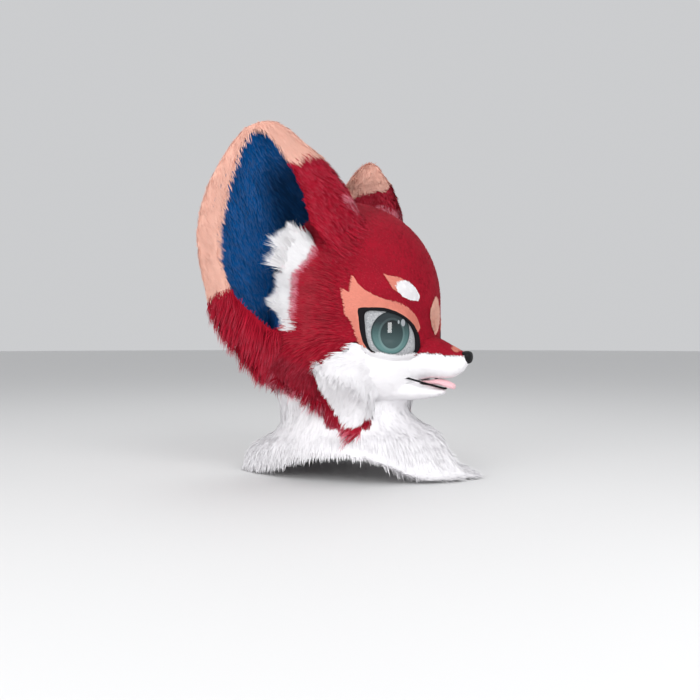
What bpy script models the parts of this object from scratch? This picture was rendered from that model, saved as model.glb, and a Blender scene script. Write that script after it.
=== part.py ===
import math

import bmesh
import bpy
from mathutils import Matrix, Vector

for old in list(bpy.data.objects):
    bpy.data.objects.remove(old, do_unlink=True)

# Frame and general sizes, in metres. The head faces -Y and its right side is at -X.
FRAME_Y = 0.026
GAP = 0.0006
WELD = 0.00001
SLIVER = 0.00005
# Angles in degrees up to which faces that a Boolean split are joined again
FLAT_LIMITS = (0.6, 0.3, 0.1)

# Skull
HEAD_WIDE = 0.165
HEAD_DEEP = 0.171
HEAD_Y = -0.006
HEAD_Z = 0.327
CROWN_RISE = 0.187
JAW_DROP = 0.200
CROWN_POWER = 2.0
JAW_POWER = 3.5
HEAD_WALL = 0.024
HEAD_AROUND = 28
HEAD_RINGS = 14
CAVITY_AROUND = 16
CAVITY_RINGS = 8
PASSAGE_RADIUS = 0.112
PASSAGE_TOP = 0.235
RAY_Z = 0.290
RAY_NEAR = 0.6
RAY_FAR = 1.3
PASSAGE_AROUND = 20

# Muzzle and jaw, by Y: half width, top and bottom
MUZZLE = (
    (-0.120, 0.085, 0.262, 0.180),
    (-0.150, 0.076, 0.262, 0.180),
    (-0.170, 0.062, 0.262, 0.180),
    (-0.185, 0.050, 0.260, 0.1795),
    (-0.195, 0.043, 0.2545, 0.179),
    (-0.208, 0.035, 0.2475, 0.1785),
    (-0.2176, 0.030, 0.2425, 0.1814),
    (-0.2272, 0.0255, 0.2368, 0.187),
    (-0.2368, 0.018, 0.2305, 0.198),
    (-0.2410, 0.009, 0.2255, 0.209),
)
JAW = (
    (-0.100, 0.080, 0.188, 0.138),
    (-0.130, 0.072, 0.186, 0.139),
    (-0.155, 0.058, 0.179, 0.1415),
    (-0.175, 0.042, 0.170, 0.1435),
    (-0.189, 0.028, 0.1645, 0.1475),
    (-0.196, 0.018, 0.161, 0.152),
    (-0.1985, 0.009, 0.1595, 0.155),
)
MUZZLE_AROUND = 14
MUZZLE_POWER = 2.3
MOUTH_CORNER_Y = -0.140
MOUTH_HALF = 0.052
NOSE_AT = (0.0, -0.2365, 0.2215)
NOSE_HALF = (0.0150, 0.0100, 0.0118)
NOSE_AROUND = 12
NOSE_RINGS = 8
TONGUE = (
    (-0.120, 0.030, 0.1790, 0.1735),
    (-0.160, 0.027, 0.1785, 0.1725),
    (-0.190, 0.022, 0.1765, 0.1690),
    (-0.205, 0.017, 0.1745, 0.1660),
    (-0.2125, 0.010, 0.1715, 0.1660),
)
TONGUE_AROUND = 12
TONGUE_POWER = 2.0
LIP_RADIUS = 0.0019
LIP_LIFT = 0.0024
LIP_SPREAD = 0.96
LIP_AROUND = 5
LIP_ROWS = 12
LIP_PAST = 0.002
# Where along the jaw's table the corners lie, and how the cord turns round the front
LIP_START = 0.30
LIP_CORNER = 1.3
LIP_TURN = 1.2

# Line between red and white fur, by azimuth from the front: height
WHITE_TOP = (
    (0.0, 0.2225),
    (10.0, 0.2240),
    (19.0, 0.2290),
    (22.0, 0.2265),
    (30.0, 0.2215),
    (40.0, 0.2200),
    (50.0, 0.2270),
    (57.9, 0.2361),
    (63.4, 0.2500),
    (67.6, 0.2431),
    (73.8, 0.2308),
    (78.2, 0.2254),
    (82.8, 0.2164),
)

# The block below that line: inner and outer radius, and underside
BLOCK_CORE = 0.02
BLOCK_REACH = 0.32
BLOCK_FLOOR = 0.05
BLOCK_SIDE = 0.15

# Outlines on the face, as azimuth from the front and height
EYE_EDGE = (
    (62.6, 0.3090), (54.5, 0.3109), (46.4, 0.3101), (39.2, 0.3042), (32.0, 0.2946),
    (25.5, 0.2805), (20.9, 0.2625), (18.9, 0.2444), (20.7, 0.2317), (26.6, 0.2247),
    (35.2, 0.2223), (43.7, 0.2244), (51.7, 0.2307), (56.1, 0.2361), (59.8, 0.2502),
    (61.7, 0.2713), (62.3, 0.2888),
)
EYE_INNER = (
    (58.1, 0.3029), (48.9, 0.3048), (41.9, 0.3014), (34.9, 0.2945), (28.8, 0.2822),
    (24.5, 0.2661), (22.8, 0.2481), (23.5, 0.2340), (31.5, 0.2256), (42.4, 0.2258),
    (51.0, 0.2320), (55.5, 0.2400), (57.7, 0.2572), (58.7, 0.2801),
)
EYE_PATCH = (
    (73.0, 0.3451), (70.6, 0.3416), (67.6, 0.3362), (67.0, 0.3503), (65.8, 0.3663),
    (62.8, 0.3521), (58.7, 0.3415), (52.7, 0.3311), (46.4, 0.3242), (38.5, 0.3184),
    (32.0, 0.3125), (26.5, 0.3020), (22.1, 0.2896), (19.6, 0.2752), (22.5, 0.2640),
    (40.0, 0.2560), (58.4, 0.2395), (61.5, 0.2475), (63.8, 0.2625), (66.4, 0.2853),
    (70.0, 0.2976), (71.2, 0.3205),
)
BROW_SPOT = (
    (36.7, 0.3549), (32.1, 0.3589), (27.6, 0.3539), (22.8, 0.3436), (20.3, 0.3330),
    (21.7, 0.3238), (28.1, 0.3252), (33.5, 0.3302), (37.0, 0.3389), (38.3, 0.3477),
)
BROW_TAIL = (
    (45.8, 0.3686), (42.0, 0.3655), (37.8, 0.3638), (33.0, 0.3610), (32.0, 0.3480),
    (35.0, 0.3360), (38.0, 0.3400), (40.5, 0.3440), (42.9, 0.3545),
)
FOREHEAD_MARK = (
    (0.0, 0.3340), (4.5, 0.3220), (8.2, 0.3080), (8.6, 0.2950), (6.0, 0.2780), (0.0, 0.2620),
    (-6.0, 0.2780), (-8.6, 0.2950), (-8.2, 0.3080), (-4.5, 0.3220),
)
IRIS_AT = (41.5, 0.2660)
IRIS_HALF = (13.4, 0.0385)
IRIS_POINTS = 20
# How much larger or smaller a neighbour's cut is than its outline
CLEAR_SHARE = 1.012
BROW_SHARE = 1.03
IRIS_SHARE = 0.985
PATCH_LIFT = (0.0004, 0.0024)
RIM_LIFT = (-0.0060, 0.0012)
PLATE_LIFT = (-0.0060, -0.0030)
IRIS_LIFT = (-0.0026, 0.0006)

# Ear, in its own plane: up the ear, back across it and out of it
EAR_BASE = Vector((-0.120, 0.020, 0.385))
EAR_UP = Vector((-0.3629, 0.1074, 0.9256))
EAR_BACK = Vector((-0.5297, 0.7935, -0.2997))
EAR_OUT = Vector((-0.7667, -0.5990, -0.2311))
# By height: front edge, rear edge, depth of the back, front roll, rear roll
EAR = (
    (-0.190, 0.060, 0.128, 0.030, 0.016, 0.014),
    (-0.140, -0.006, 0.160, 0.050, 0.026, 0.016),
    (-0.070, -0.070, 0.188, 0.066, 0.042, 0.018),
    (-0.020, -0.098, 0.202, 0.072, 0.056, 0.020),
    (0.030, -0.112, 0.204, 0.074, 0.066, 0.020),
    (0.080, -0.112, 0.198, 0.072, 0.070, 0.020),
    (0.121, -0.104, 0.188, 0.066, 0.066, 0.019),
    (0.161, -0.088, 0.170, 0.058, 0.056, 0.018),
    (0.199, -0.069, 0.143, 0.048, 0.044, 0.016),
    (0.228, -0.047, 0.114, 0.038, 0.032, 0.014),
    (0.254, -0.029, 0.084, 0.028, 0.022, 0.012),
    (0.271, -0.010, 0.058, 0.017, 0.013, 0.009),
    (0.2785, 0.010, 0.038, 0.007, 0.005, 0.004),
)
EAR_AROUND = 14
EAR_WALL = 0.012
LINING_THICK = 0.002
EAR_WINDOW = (
    (0.262, 0.040), (0.237, 0.067), (0.215, 0.083), (0.177, 0.107), (0.138, 0.130),
    (0.098, 0.148), (0.062, 0.155), (0.024, 0.153), (-0.012, 0.142), (-0.044, 0.124),
    (-0.072, 0.108), (-0.100, 0.080), (-0.112, 0.052), (-0.100, 0.032), (-0.070, 0.020),
    (-0.035, 0.008), (-0.010, -0.010), (0.028, -0.026), (0.054, -0.022), (0.090, -0.010),
    (0.126, -0.010), (0.163, -0.009), (0.191, -0.003), (0.229, 0.006), (0.255, 0.020),
)
EAR_RIM = (
    (-0.010, 0.250), (0.016, 0.149), (0.062, 0.151),
    (0.098, 0.144), (0.138, 0.126), (0.177, 0.103), (0.215, 0.079), (0.240, 0.050),
    (0.236, 0.014), (0.205, -0.006), (0.196, -0.130), (0.330, -0.130), (0.330, 0.250),
)
# White locks of the ear: root, tip (up and back), half width
EAR_LOCKS = (
    (0.044, -0.008, -0.108, 0.048, 0.020),
    (0.022, -0.006, 0.088, 0.022, 0.018),
    (0.020, -0.004, 0.064, 0.052, 0.018),
    (0.010, 0.000, 0.024, 0.068, 0.019),
    (-0.020, 0.008, -0.004, 0.066, 0.018),
    (-0.058, 0.024, -0.042, 0.094, 0.020),
)
LINING_FRONT = ((0.4, -0.3), (0.4, 0.4), (-0.4, 0.4), (-0.4, -0.3))
EAR_REACH = 0.2
WINDOW_LOW = -0.004
LINING_LOW = -0.003
LOCK_AROUND = 6
LOCK_RINGS = 4
LOCK_TAPER = 0.35
LOCK_OUT = 0.008
LOCK_OVER = 0.004
LOCK_THICK = 0.007
OVER_MOST = 0.12
OVER_STEP = 0.001

# Neck and bib, by row: radius and height at the front, the side and the back
NECK_Y = 0.010
BIB = (
    (0.118, 0.168, 0.119, 0.168, 0.150, 0.188),
    (0.122, 0.150, 0.122, 0.150, 0.142, 0.165),
    (0.123, 0.134, 0.125, 0.134, 0.134, 0.140),
    (0.127, 0.119, 0.127, 0.118, 0.130, 0.115),
    (0.141, 0.104, 0.132, 0.103, 0.130, 0.093),
    (0.160, 0.094, 0.139, 0.090, 0.141, 0.077),
    (0.184, 0.084, 0.147, 0.079, 0.159, 0.067),
    (0.205, 0.064, 0.154, 0.069, 0.178, 0.057),
    (0.220, 0.042, 0.159, 0.061, 0.190, 0.043),
    (0.231, 0.026, 0.163, 0.054, 0.197, 0.027),
    (0.242, 0.012, 0.165, 0.048, 0.201, 0.012),
    (0.275, 0.010, 0.165, 0.044, 0.202, 0.000),
)
BIB_NECK_ROWS = 4
# Hem, by azimuth from the front: radius and height
HEM = (
    (0.0, 0.275, 0.010),
    (9.0, 0.264, 0.010),
    (18.0, 0.244, 0.010),
    (27.0, 0.227, 0.012),
    (36.5, 0.219, 0.027),
    (45.0, 0.213, 0.041),
    (62.0, 0.187, 0.058),
    (77.0, 0.172, 0.053),
    (90.0, 0.165, 0.043),
    (110.0, 0.160, 0.028),
    (134.0, 0.175, 0.010),
    (150.0, 0.202, 0.000),
    (165.0, 0.206, 0.000),
    (180.0, 0.203, 0.000),
)
BIB_AROUND = 26
BIB_WALL = 0.010
PLUG_RISE = 0.0025

# Ruff of red locks, by azimuth: top, hem, lift at the top and lift at the hem
RUFF = (
    (46.0, 0.140, 0.128, 0.001, 0.0025),
    (56.0, 0.160, 0.108, 0.001, 0.004),
    (66.0, 0.180, 0.086, 0.001, 0.0045),
    (76.0, 0.200, 0.104, 0.001, 0.004),
    (90.0, 0.215, 0.128, 0.001, 0.006),
    (102.0, 0.230, 0.156, 0.001, 0.015),
    (114.0, 0.240, 0.172, 0.001, 0.014),
    (128.0, 0.250, 0.184, 0.001, 0.014),
    (145.0, 0.255, 0.186, 0.001, 0.016),
    (180.0, 0.260, 0.186, 0.001, 0.018),
)
RUFF_LOCKS = 18
RUFF_THICK = 0.006
RUFF_TOOTH = 0.013
RUFF_BLOCK = 0.040
# Cheek locks, by azimuth: top, hem
CHEEK = (
    (52.0, 0.150, 0.136),
    (58.0, 0.165, 0.120),
    (66.0, 0.185, 0.108),
    (74.0, 0.200, 0.122),
    (84.0, 0.212, 0.160),
    (88.0, 0.214, 0.196),
)
CHEEK_LOCKS = 6
CHEEK_LIFT = 0.0128
CHEEK_THICK = 0.0060
CHEEK_TOOTH = 0.010

# Colours
RED = (0.38, 0.012, 0.030)
WHITE = (0.86, 0.85, 0.86)
PEACH = (0.80, 0.42, 0.34)
SALMON = (0.85, 0.28, 0.19)
BLUE = (0.006, 0.10, 0.30)
BLACK = (0.010, 0.010, 0.011)
PINK = (0.86, 0.48, 0.52)
SILVER = (0.42, 0.44, 0.46)
SLATE = (0.07, 0.13, 0.14)
FUR_ROUGH = 0.9
CLOTH_ROUGH = 0.8
NOSE_ROUGH = 0.55
LENS_ROUGH = 0.12
SHARP_ANGLE = 40.0

model = bpy.data.collections.new("fox_costume_head")
helpers = bpy.data.collections.new("cutters")
helpers.hide_render = True
bpy.context.scene.collection.children.link(model)
bpy.context.scene.collection.children.link(helpers)


# Reading the tables
def value(table, x, column):
    """A smooth curve through one column of a table."""
    last = len(table) - 1
    if x <= table[0][0]:
        return table[0][column]
    if x >= table[last][0]:
        return table[last][column]
    i = 0
    while table[i + 1][0] < x:
        i += 1
    p0, p1 = table[i], table[i + 1]
    before, after = table[max(i - 1, 0)], table[min(i + 2, last)]
    span = p1[0] - p0[0]
    t = (x - p0[0]) / span
    m0 = (p1[column] - before[column]) / (p1[0] - before[0]) * span
    m1 = (after[column] - p0[column]) / (after[0] - p0[0]) * span
    h00 = 2 * t**3 - 3 * t**2 + 1
    h10 = t**3 - 2 * t**2 + t
    h01 = 3 * t**2 - 2 * t**3
    h11 = t**3 - t**2
    return h00 * p0[column] + h10 * m0 + h01 * p1[column] + h11 * m1


def ramp(x):
    x = min(max(x, 0.0), 1.0)
    return x * x * (3 - 2 * x)


# Meshes
def add(bm, name, colour=None, rough=FUR_ROUGH):
    """Makes the object: a coloured node of the model, or a hidden cutter."""
    bmesh.ops.triangulate(bm, faces=bm.faces, quad_method="SHORT_EDGE")
    bmesh.ops.recalc_face_normals(bm, faces=bm.faces)
    mesh = bpy.data.meshes.new(name)
    bm.to_mesh(mesh)
    bm.free()
    obj = bpy.data.objects.new(name, mesh)
    if colour is None:
        helpers.objects.link(obj)
        obj.hide_render = True
        obj.display_type = "WIRE"
        return obj
    model.objects.link(obj)
    paint(obj, colour, rough)
    return obj


def paint(obj, colour, rough):
    material = bpy.data.materials.new(obj.name)
    material.use_nodes = True
    shader = material.node_tree.nodes["Principled BSDF"]
    shader.inputs["Base Color"].default_value = (*colour, 1.0)
    shader.inputs["Roughness"].default_value = rough
    obj.data.materials.clear()
    obj.data.materials.append(material)


def sheet(across, rows, place):
    """A grid laid by place(x, y), welded at its seams and closed at its ends."""
    bm = bmesh.new()
    bmesh.ops.create_grid(bm, x_segments=across, y_segments=rows, size=0.5)
    for vert in bm.verts:
        vert.co = place(vert.co.x + 0.5, vert.co.y + 0.5)
    bmesh.ops.remove_doubles(bm, verts=bm.verts, dist=WELD)
    bmesh.ops.dissolve_degenerate(bm, edges=bm.edges, dist=WELD)
    rim = [edge for edge in bm.edges if edge.is_boundary]
    bmesh.ops.holes_fill(bm, edges=rim, sides=0)
    caps = [face for face in bm.faces if len(face.verts) > 4]
    bmesh.ops.triangulate(bm, faces=caps)
    return bm


def carve(obj, other, operation):
    """Applies an exact Boolean, and clears the slivers that it leaves where that keeps the mesh closed."""
    modifier = obj.modifiers.new(operation.lower(), "BOOLEAN")
    modifier.operation = operation
    modifier.solver = "EXACT"
    modifier.object = other
    graph = bpy.context.evaluated_depsgraph_get()
    mesh = bpy.data.meshes.new_from_object(obj.evaluated_get(graph))
    obj.modifiers.clear()
    for reach in (SLIVER, SLIVER / 10, 0.0):
        bm = bmesh.new()
        bm.from_mesh(mesh)
        if reach:
            bmesh.ops.remove_doubles(bm, verts=bm.verts, dist=reach)
            bmesh.ops.dissolve_degenerate(bm, edges=bm.edges, dist=reach)
        bmesh.ops.triangulate(bm, faces=bm.faces)
        sound = all(edge.is_manifold for edge in bm.edges)
        if sound or not reach:
            bm.to_mesh(mesh)
        bm.free()
        if sound:
            break
    obj.data = mesh


def keep_largest(obj):
    """Keeps the largest body of a piece and drops the crumbs that a cut left."""
    bm = bmesh.new()
    bm.from_mesh(obj.data)
    left, bodies = set(bm.verts), []
    while left:
        body, queue = set(), [left.pop()]
        while queue:
            vert = queue.pop()
            body.add(vert)
            near = {edge.other_vert(vert) for edge in vert.link_edges} & left
            left -= near
            queue.extend(near)
        bodies.append(body)
    bodies.sort(key=len)
    for body in bodies[:-1]:
        bmesh.ops.delete(bm, geom=list(body), context="VERTS")
    bm.to_mesh(obj.data)
    bm.free()


def slim(obj):
    """Joins the flat faces that the Booleans split, where that keeps the mesh closed."""
    for limit in FLAT_LIMITS:
        bm = bmesh.new()
        bm.from_mesh(obj.data)
        bmesh.ops.dissolve_limit(bm, angle_limit=math.radians(limit), verts=bm.verts, edges=bm.edges)
        bmesh.ops.triangulate(bm, faces=bm.faces)
        sound = all(edge.is_manifold for edge in bm.edges)
        if sound:
            bm.to_mesh(obj.data)
        bm.free()
        if sound:
            return


def mirrored(obj, name):
    """The same piece, or cutter, on the other side."""
    bm = bmesh.new()
    bm.from_mesh(obj.data)
    for vert in bm.verts:
        vert.co.x = -vert.co.x
    if not obj.data.materials:
        return add(bm, name)
    inputs = obj.data.materials[0].node_tree.nodes["Principled BSDF"].inputs
    colour = tuple(inputs["Base Color"].default_value)[:3]
    return add(bm, name, colour, inputs["Roughness"].default_value)


# The skull
def girth(t):
    power = CROWN_POWER if t > 0 else JAW_POWER
    return max(0.0, 1 - abs(t) ** power) ** (1 / power)


def skull(turn, t, lift):
    """A point of the skull: turn in radians from the front, t from -1 at the jaw to 1 at the crown."""
    k = girth(t)
    rise = (CROWN_RISE if t > 0 else JAW_DROP) + lift
    x = -(HEAD_WIDE + lift) * k * math.sin(turn)
    y = HEAD_Y - (HEAD_DEEP + lift) * k * math.cos(turn)
    return Vector((x, y, HEAD_Z + t * rise))


def skull_at(azimuth, z, lift=0.0):
    rise = (CROWN_RISE if z > HEAD_Z else JAW_DROP) + lift
    t = min(max((z - HEAD_Z) / rise, -1.0), 1.0)
    return skull(math.radians(azimuth), t, lift)


def skull_ball(lift, around=HEAD_AROUND, rings=HEAD_RINGS):
    bm = bmesh.new()
    bmesh.ops.create_uvsphere(bm, u_segments=around, v_segments=rings, radius=1.0)
    for vert in bm.verts:
        x, y, t = vert.co
        vert.co = skull(math.atan2(-x, -y), t, lift)
    return bm


def ray_block(outline):
    """A block along the rays from the middle of the head through an outline on the skull."""
    heart = Vector((0, HEAD_Y, RAY_Z))
    count = len(outline)

    def place(x, y):
        azimuth, z = outline[round(x * count) % count]
        return heart + (skull_at(azimuth, z) - heart) * (RAY_NEAR + (RAY_FAR - RAY_NEAR) * y)

    return sheet(count, 1, place)


def face_piece(name, outline, lifts, colour, rough=FUR_ROUGH):
    """A thin piece that follows the face inside an outline."""
    block = add(ray_block(outline), name, colour, rough)
    carve(block, add(skull_ball(lifts[1]), name + "_over"), "INTERSECT")
    carve(block, add(skull_ball(lifts[0]), name + "_under"), "DIFFERENCE")
    return block


def grown(outline, by):
    """The outline moved outwards from its middle, by a share of its size."""
    mid_a = sum(point[0] for point in outline) / len(outline)
    mid_z = sum(point[1] for point in outline) / len(outline)
    return [(mid_a + (a - mid_a) * by, mid_z + (z - mid_z) * by) for a, z in outline]


def moved_out(outline, by):
    """The outline with every side moved outwards by a distance."""
    count = len(outline)
    area = sum(
        outline[i][0] * outline[(i + 1) % count][1] - outline[(i + 1) % count][0] * outline[i][1]
        for i in range(count)
    )
    by = math.copysign(by, by * area)
    result = []
    for i, (x, y) in enumerate(outline):
        before, after = outline[i - 1], outline[(i + 1) % count]
        first = Vector((y - before[1], before[0] - x)).normalized()
        second = Vector((after[1] - y, x - after[0])).normalized()
        step = (first + second) * (by / max(1 + first.dot(second), 0.3))
        result.append((x + step.x, y + step.y))
    return result


# Lofts along Y for the muzzle, the jaw and the tongue
def loft(table, around, power, grow=0.0):
    def place(x, y):
        spot = y * (len(table) - 1)
        row = min(int(spot + 0.5), len(table) - 1)
        front, half, top, bottom = table[row]
        turn = 2 * math.pi * x
        c, s = math.cos(turn), math.sin(turn)
        side = math.copysign(abs(c) ** (2 / power), c) * (half + grow)
        rise = math.copysign(abs(s) ** (2 / power), s) * ((top - bottom) / 2 + grow)
        return Vector((side, front - (grow if row else -grow), (top + bottom) / 2 + rise))

    return sheet(around, len(table) - 1, place)


def ball(centre, half, around, rings, grow=0.0):
    bm = bmesh.new()
    bmesh.ops.create_uvsphere(bm, u_segments=around, v_segments=rings, radius=1.0)
    for vert in bm.verts:
        for axis in range(3):
            vert.co[axis] = centre[axis] + vert.co[axis] * (half[axis] + grow)
    return bm


# The neck and the bib
def bib_outer(azimuth, row):
    """A point of the bib's outside; row counts from the top of the neck to the hem."""
    a = abs((azimuth + 180) % 360 - 180)
    front = ramp(math.cos(math.radians(a))) if a < 90 else 0.0
    back = ramp(-math.cos(math.radians(a))) if a > 90 else 0.0
    side = 1 - front - back
    low = min(int(row), len(BIB) - 2)
    part = row - low
    radius, height = 0.0, 0.0
    for index, share in ((low, 1 - part), (low + 1, part)):
        entry = BIB[index]
        radius += share * (front * entry[0] + side * entry[2] + back * entry[4])
        height += share * (front * entry[1] + side * entry[3] + back * entry[5])
    last = BIB[-1]
    hem_radius = front * last[0] + side * last[2] + back * last[4]
    hem_height = front * last[1] + side * last[3] + back * last[5]
    reach = ramp((row - BIB_NECK_ROWS) / (len(BIB) - 1 - BIB_NECK_ROWS))
    radius += reach * (value(HEM, a, 1) - hem_radius)
    height += reach * (value(HEM, a, 2) - hem_height)
    turn = math.radians(azimuth)
    return Vector((-radius * math.sin(turn), NECK_Y - radius * math.cos(turn), max(height, 0.0)))


def bib_point(azimuth, row, lift):
    """The bib's outside moved along its normal, kept above the floor."""
    point = bib_outer(azimuth, row)
    rows = len(BIB) - 1
    across = bib_outer(azimuth + 1.5, row) - bib_outer(azimuth - 1.5, row)
    along = bib_outer(azimuth, min(row + 0.4, rows)) - bib_outer(azimuth, max(row - 0.4, 0))
    normal = along.cross(across).normalized()
    out = Vector((point.x, point.y - NECK_Y, 0.02))
    if normal.dot(out) < 0:
        normal.negate()
    point = point + normal * lift
    point.z = max(point.z, 0.0)
    return point


def bib_ring():
    rows = len(BIB) - 1
    count = 2 * rows + 2

    def place(x, y):
        step = round(y * count) % count
        inside = step > rows
        row = count - 1 - step if inside else step
        return bib_point(360 * x, row, -BIB_WALL if inside else 0.0)

    return sheet(BIB_AROUND, count, place)


def neck_plug():
    """The filled neck, a gap larger and pointed on top, that the head is cut with."""
    rows = 7

    def place(x, y):
        step = round(y * rows)
        if step == 0:
            return Vector((0, NECK_Y, PASSAGE_TOP))
        if step == 1:
            return bib_point(360 * x, 0, GAP) + Vector((0, 0, PLUG_RISE))
        return bib_point(360 * x, step - 2, GAP)

    return sheet(BIB_AROUND, rows, place)


# The ear
def ear_point(up, back, out):
    return EAR_BASE + EAR_UP * up + EAR_BACK * back + EAR_OUT * out


def ear_body(inset):
    """The closed body of the ear, made smaller by an inset."""
    first, last = EAR[0][0], EAR[-1][0]
    rows = len(EAR) - 1

    def place(x, y):
        up = EAR[round(y * rows)][0]
        low, high = value(EAR, up, 1) + inset, value(EAR, up, 2) - inset
        if high < low:
            low = high = (low + high) / 2
        depth = max(value(EAR, up, 3) - inset, 0.0)
        front_roll = max(value(EAR, up, 4) - inset, 0.0)
        rear_roll = max(value(EAR, up, 5) - inset, 0.0)
        turn = 2 * math.pi * x
        c, s = math.cos(turn), math.sin(turn)
        back = (low + high) / 2 + c * (high - low) / 2
        share = ramp((1 - c) / 2)
        roll = rear_roll + (front_roll - rear_roll) * share
        out = s * roll if s > 0 else s * depth
        middle = (first + last) / 2
        height = middle + (up - middle) * (1 - inset / (last - middle))
        return ear_point(height, back, out)

    return sheet(EAR_AROUND, rows, place)


def ear_block(outline, low, high):
    """A block through an outline in the ear's plane."""
    count = len(outline)

    def place(x, y):
        up, back = outline[round(x * count) % count]
        return ear_point(up, back, low + (high - low) * y)

    return sheet(count, 1, place)


def over_skull(up, back):
    """How far out of the ear's plane a point must lie to clear the skull."""
    out = LOCK_OUT
    while out < OVER_MOST:
        spot = ear_point(up, back, out)
        k = girth((spot.z - HEAD_Z) / (CROWN_RISE if spot.z > HEAD_Z else JAW_DROP))
        if k <= 0 or (spot.x / (HEAD_WIDE * k)) ** 2 + ((spot.y - HEAD_Y) / (HEAD_DEEP * k)) ** 2 > 1:
            break
        out += OVER_STEP
    return out


def lock(root_up, root_back, tip_up, tip_back, half, thick):
    """One leaf-shaped lock between two points of the ear's plane, laid over the skull."""
    bm = bmesh.new()
    bmesh.ops.create_uvsphere(bm, u_segments=LOCK_AROUND, v_segments=LOCK_RINGS, radius=1.0)
    length = math.hypot(tip_up - root_up, tip_back - root_back) / 2
    up, back = (tip_up - root_up) / 2 / length, (tip_back - root_back) / 2 / length
    for vert in bm.verts:
        x, y, t = vert.co
        taper = 1 - LOCK_TAPER * t
        along, over = t * length, x * half * taper
        spot_up = (root_up + tip_up) / 2 + up * along - back * over
        spot_back = (root_back + tip_back) / 2 + back * along + up * over
        out = over_skull(spot_up, spot_back) + LOCK_OVER
        vert.co = ear_point(spot_up, spot_back, out + y * thick * taper)
    return bm


# Hanging locks round the neck
def neck_radius(azimuth, z):
    """How far the neck stands from its axis at a height, or 0 above it."""
    for row in range(len(BIB) - 1):
        high, low = bib_outer(azimuth, row), bib_outer(azimuth, row + 1)
        if low.z <= z <= high.z:
            spot = high.lerp(low, (high.z - z) / (high.z - low.z))
            return math.hypot(spot.x, spot.y - NECK_Y)
    return 0.0


def hanging(azimuth, z, lift):
    """A point outside the head and the neck, whichever stands further out."""
    on_head = skull_at(azimuth, max(z, HEAD_Z - 0.9 * JAW_DROP))
    out = math.atan2(-on_head.x, NECK_Y - on_head.y)
    radius = math.hypot(on_head.x, on_head.y - NECK_Y)
    radius = max(radius, neck_radius(math.degrees(out), z)) + lift
    return Vector((-radius * math.sin(out), NECK_Y - radius * math.cos(out), z))


def fringe(table, start, end, locks, thick, tooth, lifts, depth=0.0, grow=0.0):
    """A band of hanging fur whose hem is a row of pointed locks. With a depth it reaches into the head."""
    across, rows = 2 * locks, 3
    loop = 2 * rows + 2

    def place(x, y):
        step = round(y * loop) % loop
        inside = step > rows
        row = loop - 1 - step if inside else step
        azimuth = start + (end - start) * x
        a = abs((azimuth + 180) % 360 - 180)
        top, hem = value(table, a, 1), value(table, a, 2)
        point = round(x * across) % 2
        hem += tooth * (0.5 - point)
        share = row / rows
        z = top + grow + (hem - top - 2 * grow) * share
        lift = lifts(a, share)
        lift += -depth if inside else grow + thick * (1 - 0.40 * share * point)
        return hanging(azimuth, z, lift)

    return sheet(across, loop, place)


# Head shell and lower face
head = add(skull_ball(0.0), "head_shell", RED)
carve(head, add(loft(MUZZLE, MUZZLE_AROUND, MUZZLE_POWER), "muzzle_form"), "UNION")
face = add(skull_ball(0.0), "lower_face", WHITE)
carve(face, bpy.data.objects["muzzle_form"], "UNION")
carve(face, add(loft(JAW, MUZZLE_AROUND, MUZZLE_POWER), "jaw_form"), "UNION")


def white_block(rise, side):
    """Everything below the line between the red and the white fur."""
    steps = len(WHITE_TOP) - 1
    count = 2 * steps

    def place(x, y):
        index = round(x * count) - steps
        azimuth, height = WHITE_TOP[abs(index)]
        if abs(index) == steps:
            azimuth += side
        turn = math.radians(math.copysign(azimuth, index))
        at_axis, at_top = ((True, False), (False, False), (False, True), (True, True))[round(y * 4) % 4]
        radius = BLOCK_CORE if at_axis else BLOCK_REACH
        z = height + rise if at_top else BLOCK_FLOOR
        return Vector((-radius * math.sin(turn), HEAD_Y - radius * math.cos(turn), z))

    return sheet(count, 4, place)


carve(face, add(white_block(0.0, 0.0), "white_form"), "INTERSECT")
carve(head, add(white_block(GAP, BLOCK_SIDE), "white_cut"), "DIFFERENCE")
cavity = add(skull_ball(-HEAD_WALL, CAVITY_AROUND, CAVITY_RINGS), "cavity")
plug = add(neck_plug(), "neck_plug")
passage_bm = bmesh.new()
bmesh.ops.create_cone(
    passage_bm, cap_ends=True, segments=PASSAGE_AROUND,
    radius1=PASSAGE_RADIUS, radius2=PASSAGE_RADIUS, depth=PASSAGE_TOP,
)
bmesh.ops.translate(passage_bm, verts=passage_bm.verts, vec=(0, NECK_Y, PASSAGE_TOP / 2))
passage = add(passage_bm, "passage")
nose_cut = add(ball(NOSE_AT, NOSE_HALF, NOSE_AROUND, NOSE_RINGS, GAP), "nose_cut")
for obj in (head, face):
    carve(obj, cavity, "DIFFERENCE")
    carve(obj, passage, "DIFFERENCE")
    carve(obj, plug, "DIFFERENCE")
    carve(obj, nose_cut, "DIFFERENCE")
nose = add(ball(NOSE_AT, NOSE_HALF, NOSE_AROUND, NOSE_RINGS), "nose", BLACK, NOSE_ROUGH)

# Mouth
MOUTH_SIDE = (
    (MOUTH_CORNER_Y, 0.1825), (-0.160, 0.1795), (-0.300, 0.1780), (-0.300, 0.1500),
    (-0.199, 0.1600), (-0.189, 0.1648), (-0.175, 0.1703), (-0.155, 0.1790),
)


def mouth_place(x, y):
    back, z = MOUTH_SIDE[round(x * len(MOUTH_SIDE)) % len(MOUTH_SIDE)]
    return Vector((MOUTH_HALF * (2 * y - 1), back, z))


carve(face, add(sheet(len(MOUTH_SIDE), 1, mouth_place), "mouth_cut"), "DIFFERENCE")
tongue = add(loft(TONGUE, TONGUE_AROUND, TONGUE_POWER), "tongue", PINK, CLOTH_ROUGH)
carve(face, add(loft(TONGUE, TONGUE_AROUND, TONGUE_POWER, GAP), "tongue_cut"), "DIFFERENCE")


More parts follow.
